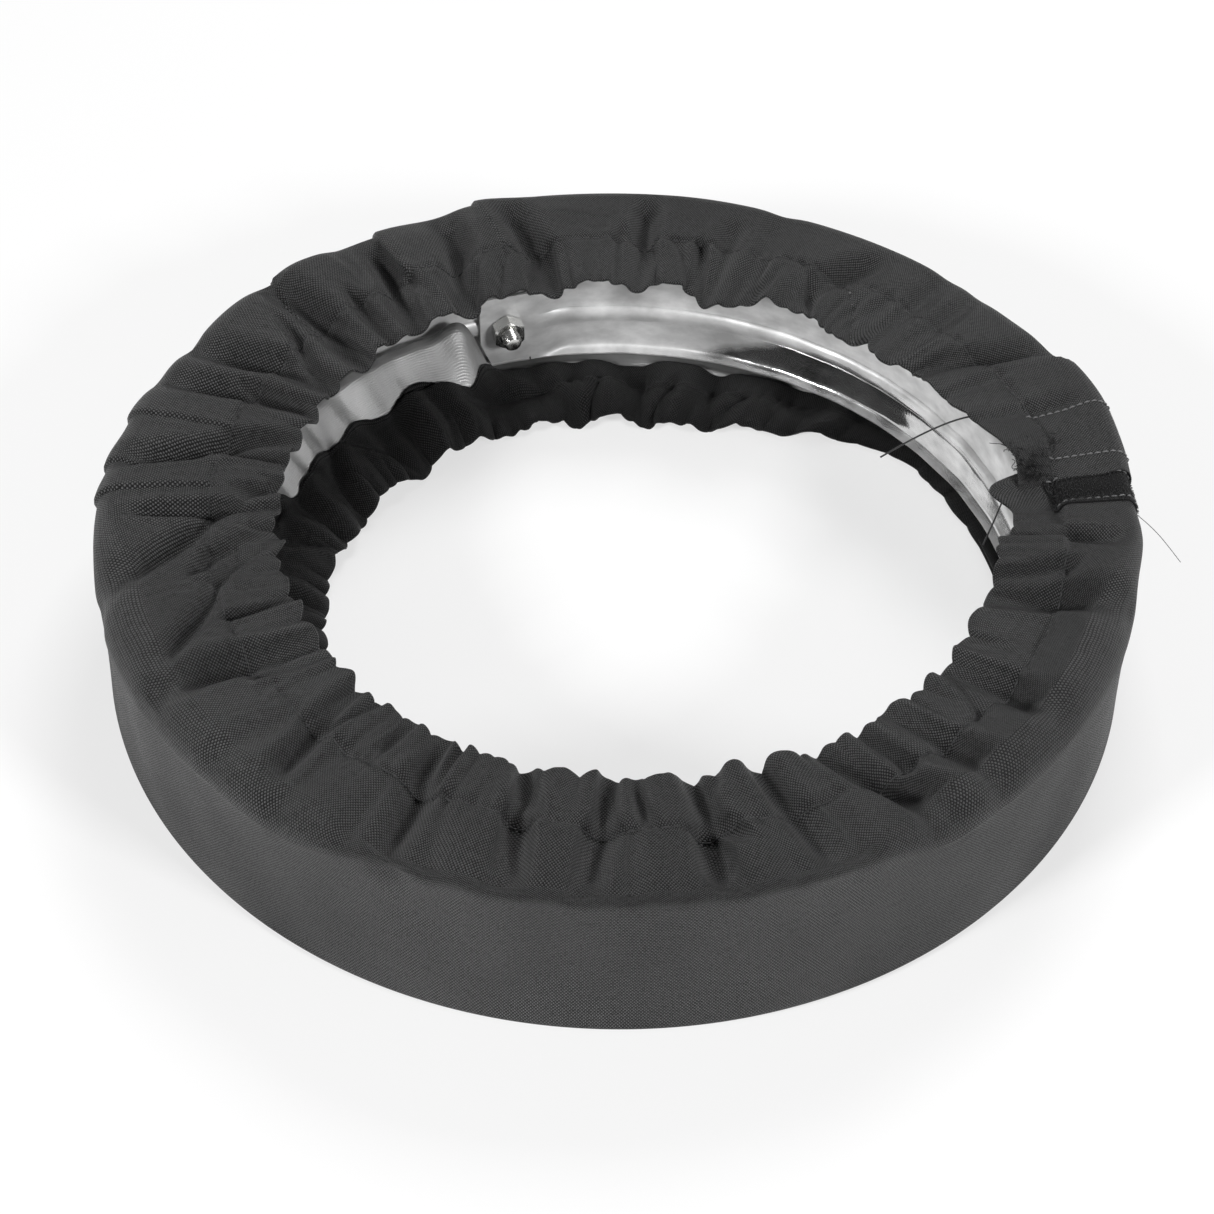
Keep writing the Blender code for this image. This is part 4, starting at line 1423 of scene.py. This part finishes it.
def thread_rings(length):
    """Rings of a cut thread from the tip up to the head, with a chamfered tip."""
    turn = TURN * np.arange(LATHE_COLUMNS) / LATHE_COLUMNS
    rings = [(TINY, 0.0), (TIP_R[0], 0.0)]
    for height in np.linspace(TINY, length, THREAD_STEPS):
        phase = (height / PITCH - turn / TURN) % 1.0
        depth = THREAD_DEPTH * np.clip(2.2 * np.abs(phase - 0.5) - 0.1, 0.0, 1.0)
        rings.append((np.minimum(SCREW_R - depth, TIP_R[1] + height), height))
    return rings + [(TINY, length)]


def make_fasteners(zinc):
    outside = WEB_R + 0.5 * SHEET + SEAT_GAP
    seat = outside + SEAT_GAP + WASHER
    nut_seat = TONGUE_R - 0.5 * SHEET - SEAT_GAP
    bore, edge = WASHER_R
    under = [(bore, 0.0), (edge - WASHER_EASE, 0.0), (edge, WASHER_EASE)]
    plate = under + [(radius, WASHER - height) for radius, height in under[::-1]]
    for name, rings, place, node in (
        ("hoop_bolt_head", hex_rings(HEAD_HEIGHT), seat, "hoop_bolt"),
        ("hoop_bolt_thread", thread_rings(SCREW_LENGTH), seat - SCREW_LENGTH, None),
        ("hoop_nut_hex", hex_rings(NUT_HEIGHT, NUT_BORE_R), nut_seat - NUT_HEIGHT, "hoop_nut"),
        ("hoop_washer_plate", plate, outside, "hoop_washer"),
    ):
        piece = lathe_object(name, rings, outward(place), zinc)
        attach(piece, "cover")
        if node:
            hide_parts(node)


# Loose thread ends and frayed yarn
def make_threads(black, pale):
    for where, radius, points in LOOSE_THREADS:
        name = "loose_thread_" + where
        data = bpy.data.curves.new(name, "CURVE")
        data.dimensions = "3D"
        data.bevel_depth = radius * MM
        data.bevel_resolution = 2
        data.use_fill_caps = True
        data.resolution_u = 8
        line = data.splines.new("NURBS")
        line.points.add(len(points) - 1)
        for point, place in zip(line.points, points):
            point.co = (*(MM * part for part in place), 1.0)
        line.use_endpoint_u = True
        line.order_u = 4
        piece = add_object(name, data, pale if where == "outer" else black)
        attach(piece, "cover")


def make_frays(material):
    """Tufts of short curled fibres where the casings stop at the closure."""
    rng = np.random.default_rng(SEED + 3)
    lines = []
    for radius, degrees, height, count in FRAY_SPOTS:
        turn = math.radians(degrees)
        centre = np.array([radius * math.cos(turn), radius * math.sin(turn), height]) * MM
        start = centre + rng.normal(0.0, FRAY_SCATTER, (count, 3)) * (1.0, 1.0, 0.5)
        heading = unit(rng.normal(0.0, 1.0, (count, 3)) * FRAY_FLAT + FRAY_HEADING)
        curl = rng.normal(0.0, 1.0, (count, 3)) * FRAY_FLAT
        share = np.linspace(0.0, 1.0, FRAY_POINTS)[None, :, None]
        length = rng.uniform(*FRAY_LENGTH, (count, 1, 1))
        sway = 0.5 * share**2 + 0.25 * np.sin(5.0 * share)
        bent = heading[:, None] * share + sway * curl[:, None]
        lines.append(start[:, None] + length * bent)
    tuft = tubes_object("closure_frays", np.concatenate(lines), FRAY_R, material, 5)
    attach(tuft, "cover")


# Camera, floor and lamps
def set_camera():
    data = bpy.data.cameras.new("camera")
    data.sensor_width = SENSOR_MM
    data.lens = SENSOR_MM * FOCAL_PX / FRAME_PX
    data.shift_x = -(RING_CENTRE_PX[0] - 0.5 * FRAME_PX) / FRAME_PX
    data.shift_y = (RING_CENTRE_PX[1] - 0.5 * FRAME_PX) / FRAME_PX
    made = add_object("camera", data)
    aim = Vector((0.0, 0.0, 0.5 * COVER_H))
    away = Vector((0.0, -math.cos(CAMERA_LIFT), math.sin(CAMERA_LIFT)))
    turn = away.to_track_quat("Z", "Y").to_matrix().to_4x4()
    place = Matrix.Translation(aim + CAMERA_RANGE * away)
    made.matrix_world = place @ turn @ Matrix.Rotation(-CAMERA_ROLL, 4, "Z")
    bpy.context.scene.camera = made


def add_lamp(name, place, size, energy):
    lamp = bpy.data.lights.new(name, "AREA")
    lamp.energy = energy
    lamp.size = size
    made = add_object(name, lamp)
    made.location = place
    made.rotation_euler = Vector(place).to_track_quat("Z", "Y").to_euler()


def floor_material():
    """Pale floor that keeps the shadow and shows as near white to the camera and in reflections."""
    made = new_material("pale_floor", (0.92, 0.92, 0.92), 0.9)
    nodes = Nodes(made)
    path = nodes.add("ShaderNodeLightPath", {})
    seen = nodes.math("MAXIMUM", path["Is Camera Ray"], path["Is Glossy Ray"])
    seen = nodes.math("MAXIMUM", seen, path["Is Transmission Ray"])
    glow = nodes.add("ShaderNodeEmission", {})[0]
    both = {0: nodes.times(seen, FLOOR_GLOW), 1: nodes.shader.outputs[0], 2: glow}
    shown = nodes.add("ShaderNodeMixShader", both)[0]
    nodes.feed(nodes.tree.nodes["Material Output"].inputs["Surface"], shown)
    return made


def set_stage():
    corners = FLOOR_HALF * np.array([(-1, -1, 0), (1, -1, 0), (1, 1, 0), (-1, 1, 0)])
    floor = add_object("floor", mesh_from("floor", corners, np.arange(4)), floor_material())
    world = bpy.data.worlds.new("studio")
    bpy.context.scene.world = world
    world.use_nodes = True
    background = world.node_tree.nodes["Background"].inputs
    background["Color"].default_value = grey(1.0)
    background["Strength"].default_value = WORLD_LIGHT
    for lamp in LAMPS:
        add_lamp(*lamp)


# Build
weave = oxford_material("oxford_weave", 1.0)
# A darker, duller copy of the weave paints shade on the lower hem
painted_shade_weave = oxford_material("oxford_weave_painted_shade", LOWER_PAINTED_SHADE)
lining = lining_material()
thread = thread_material("black_thread", (0.032, 0.032, 0.033), 0.6)
set_camera()
set_stage()
grid, flat, middles = make_fabric((weave, painted_shade_weave, lining), thread)
elastic = ribbed_material("white_elastic", (0.7, 0.7, 0.68), 1.2 * MM)
for side, middle in zip(("upper", "lower"), middles):
    make_elastic(side + "_elastic_band", middle, flat, elastic)
make_tapes(grid, flat, thread_material("closure_thread", (0.13, 0.13, 0.132)))
make_frays(thread_material("frayed_yarn", (0.009, 0.009, 0.0095), DULL))
make_hoop(steel_material())
make_fasteners(zinc_material())
make_threads(thread, thread_material("grey_thread", (0.16, 0.16, 0.165)))
bpy.context.scene.view_settings.view_transform = "Standard"
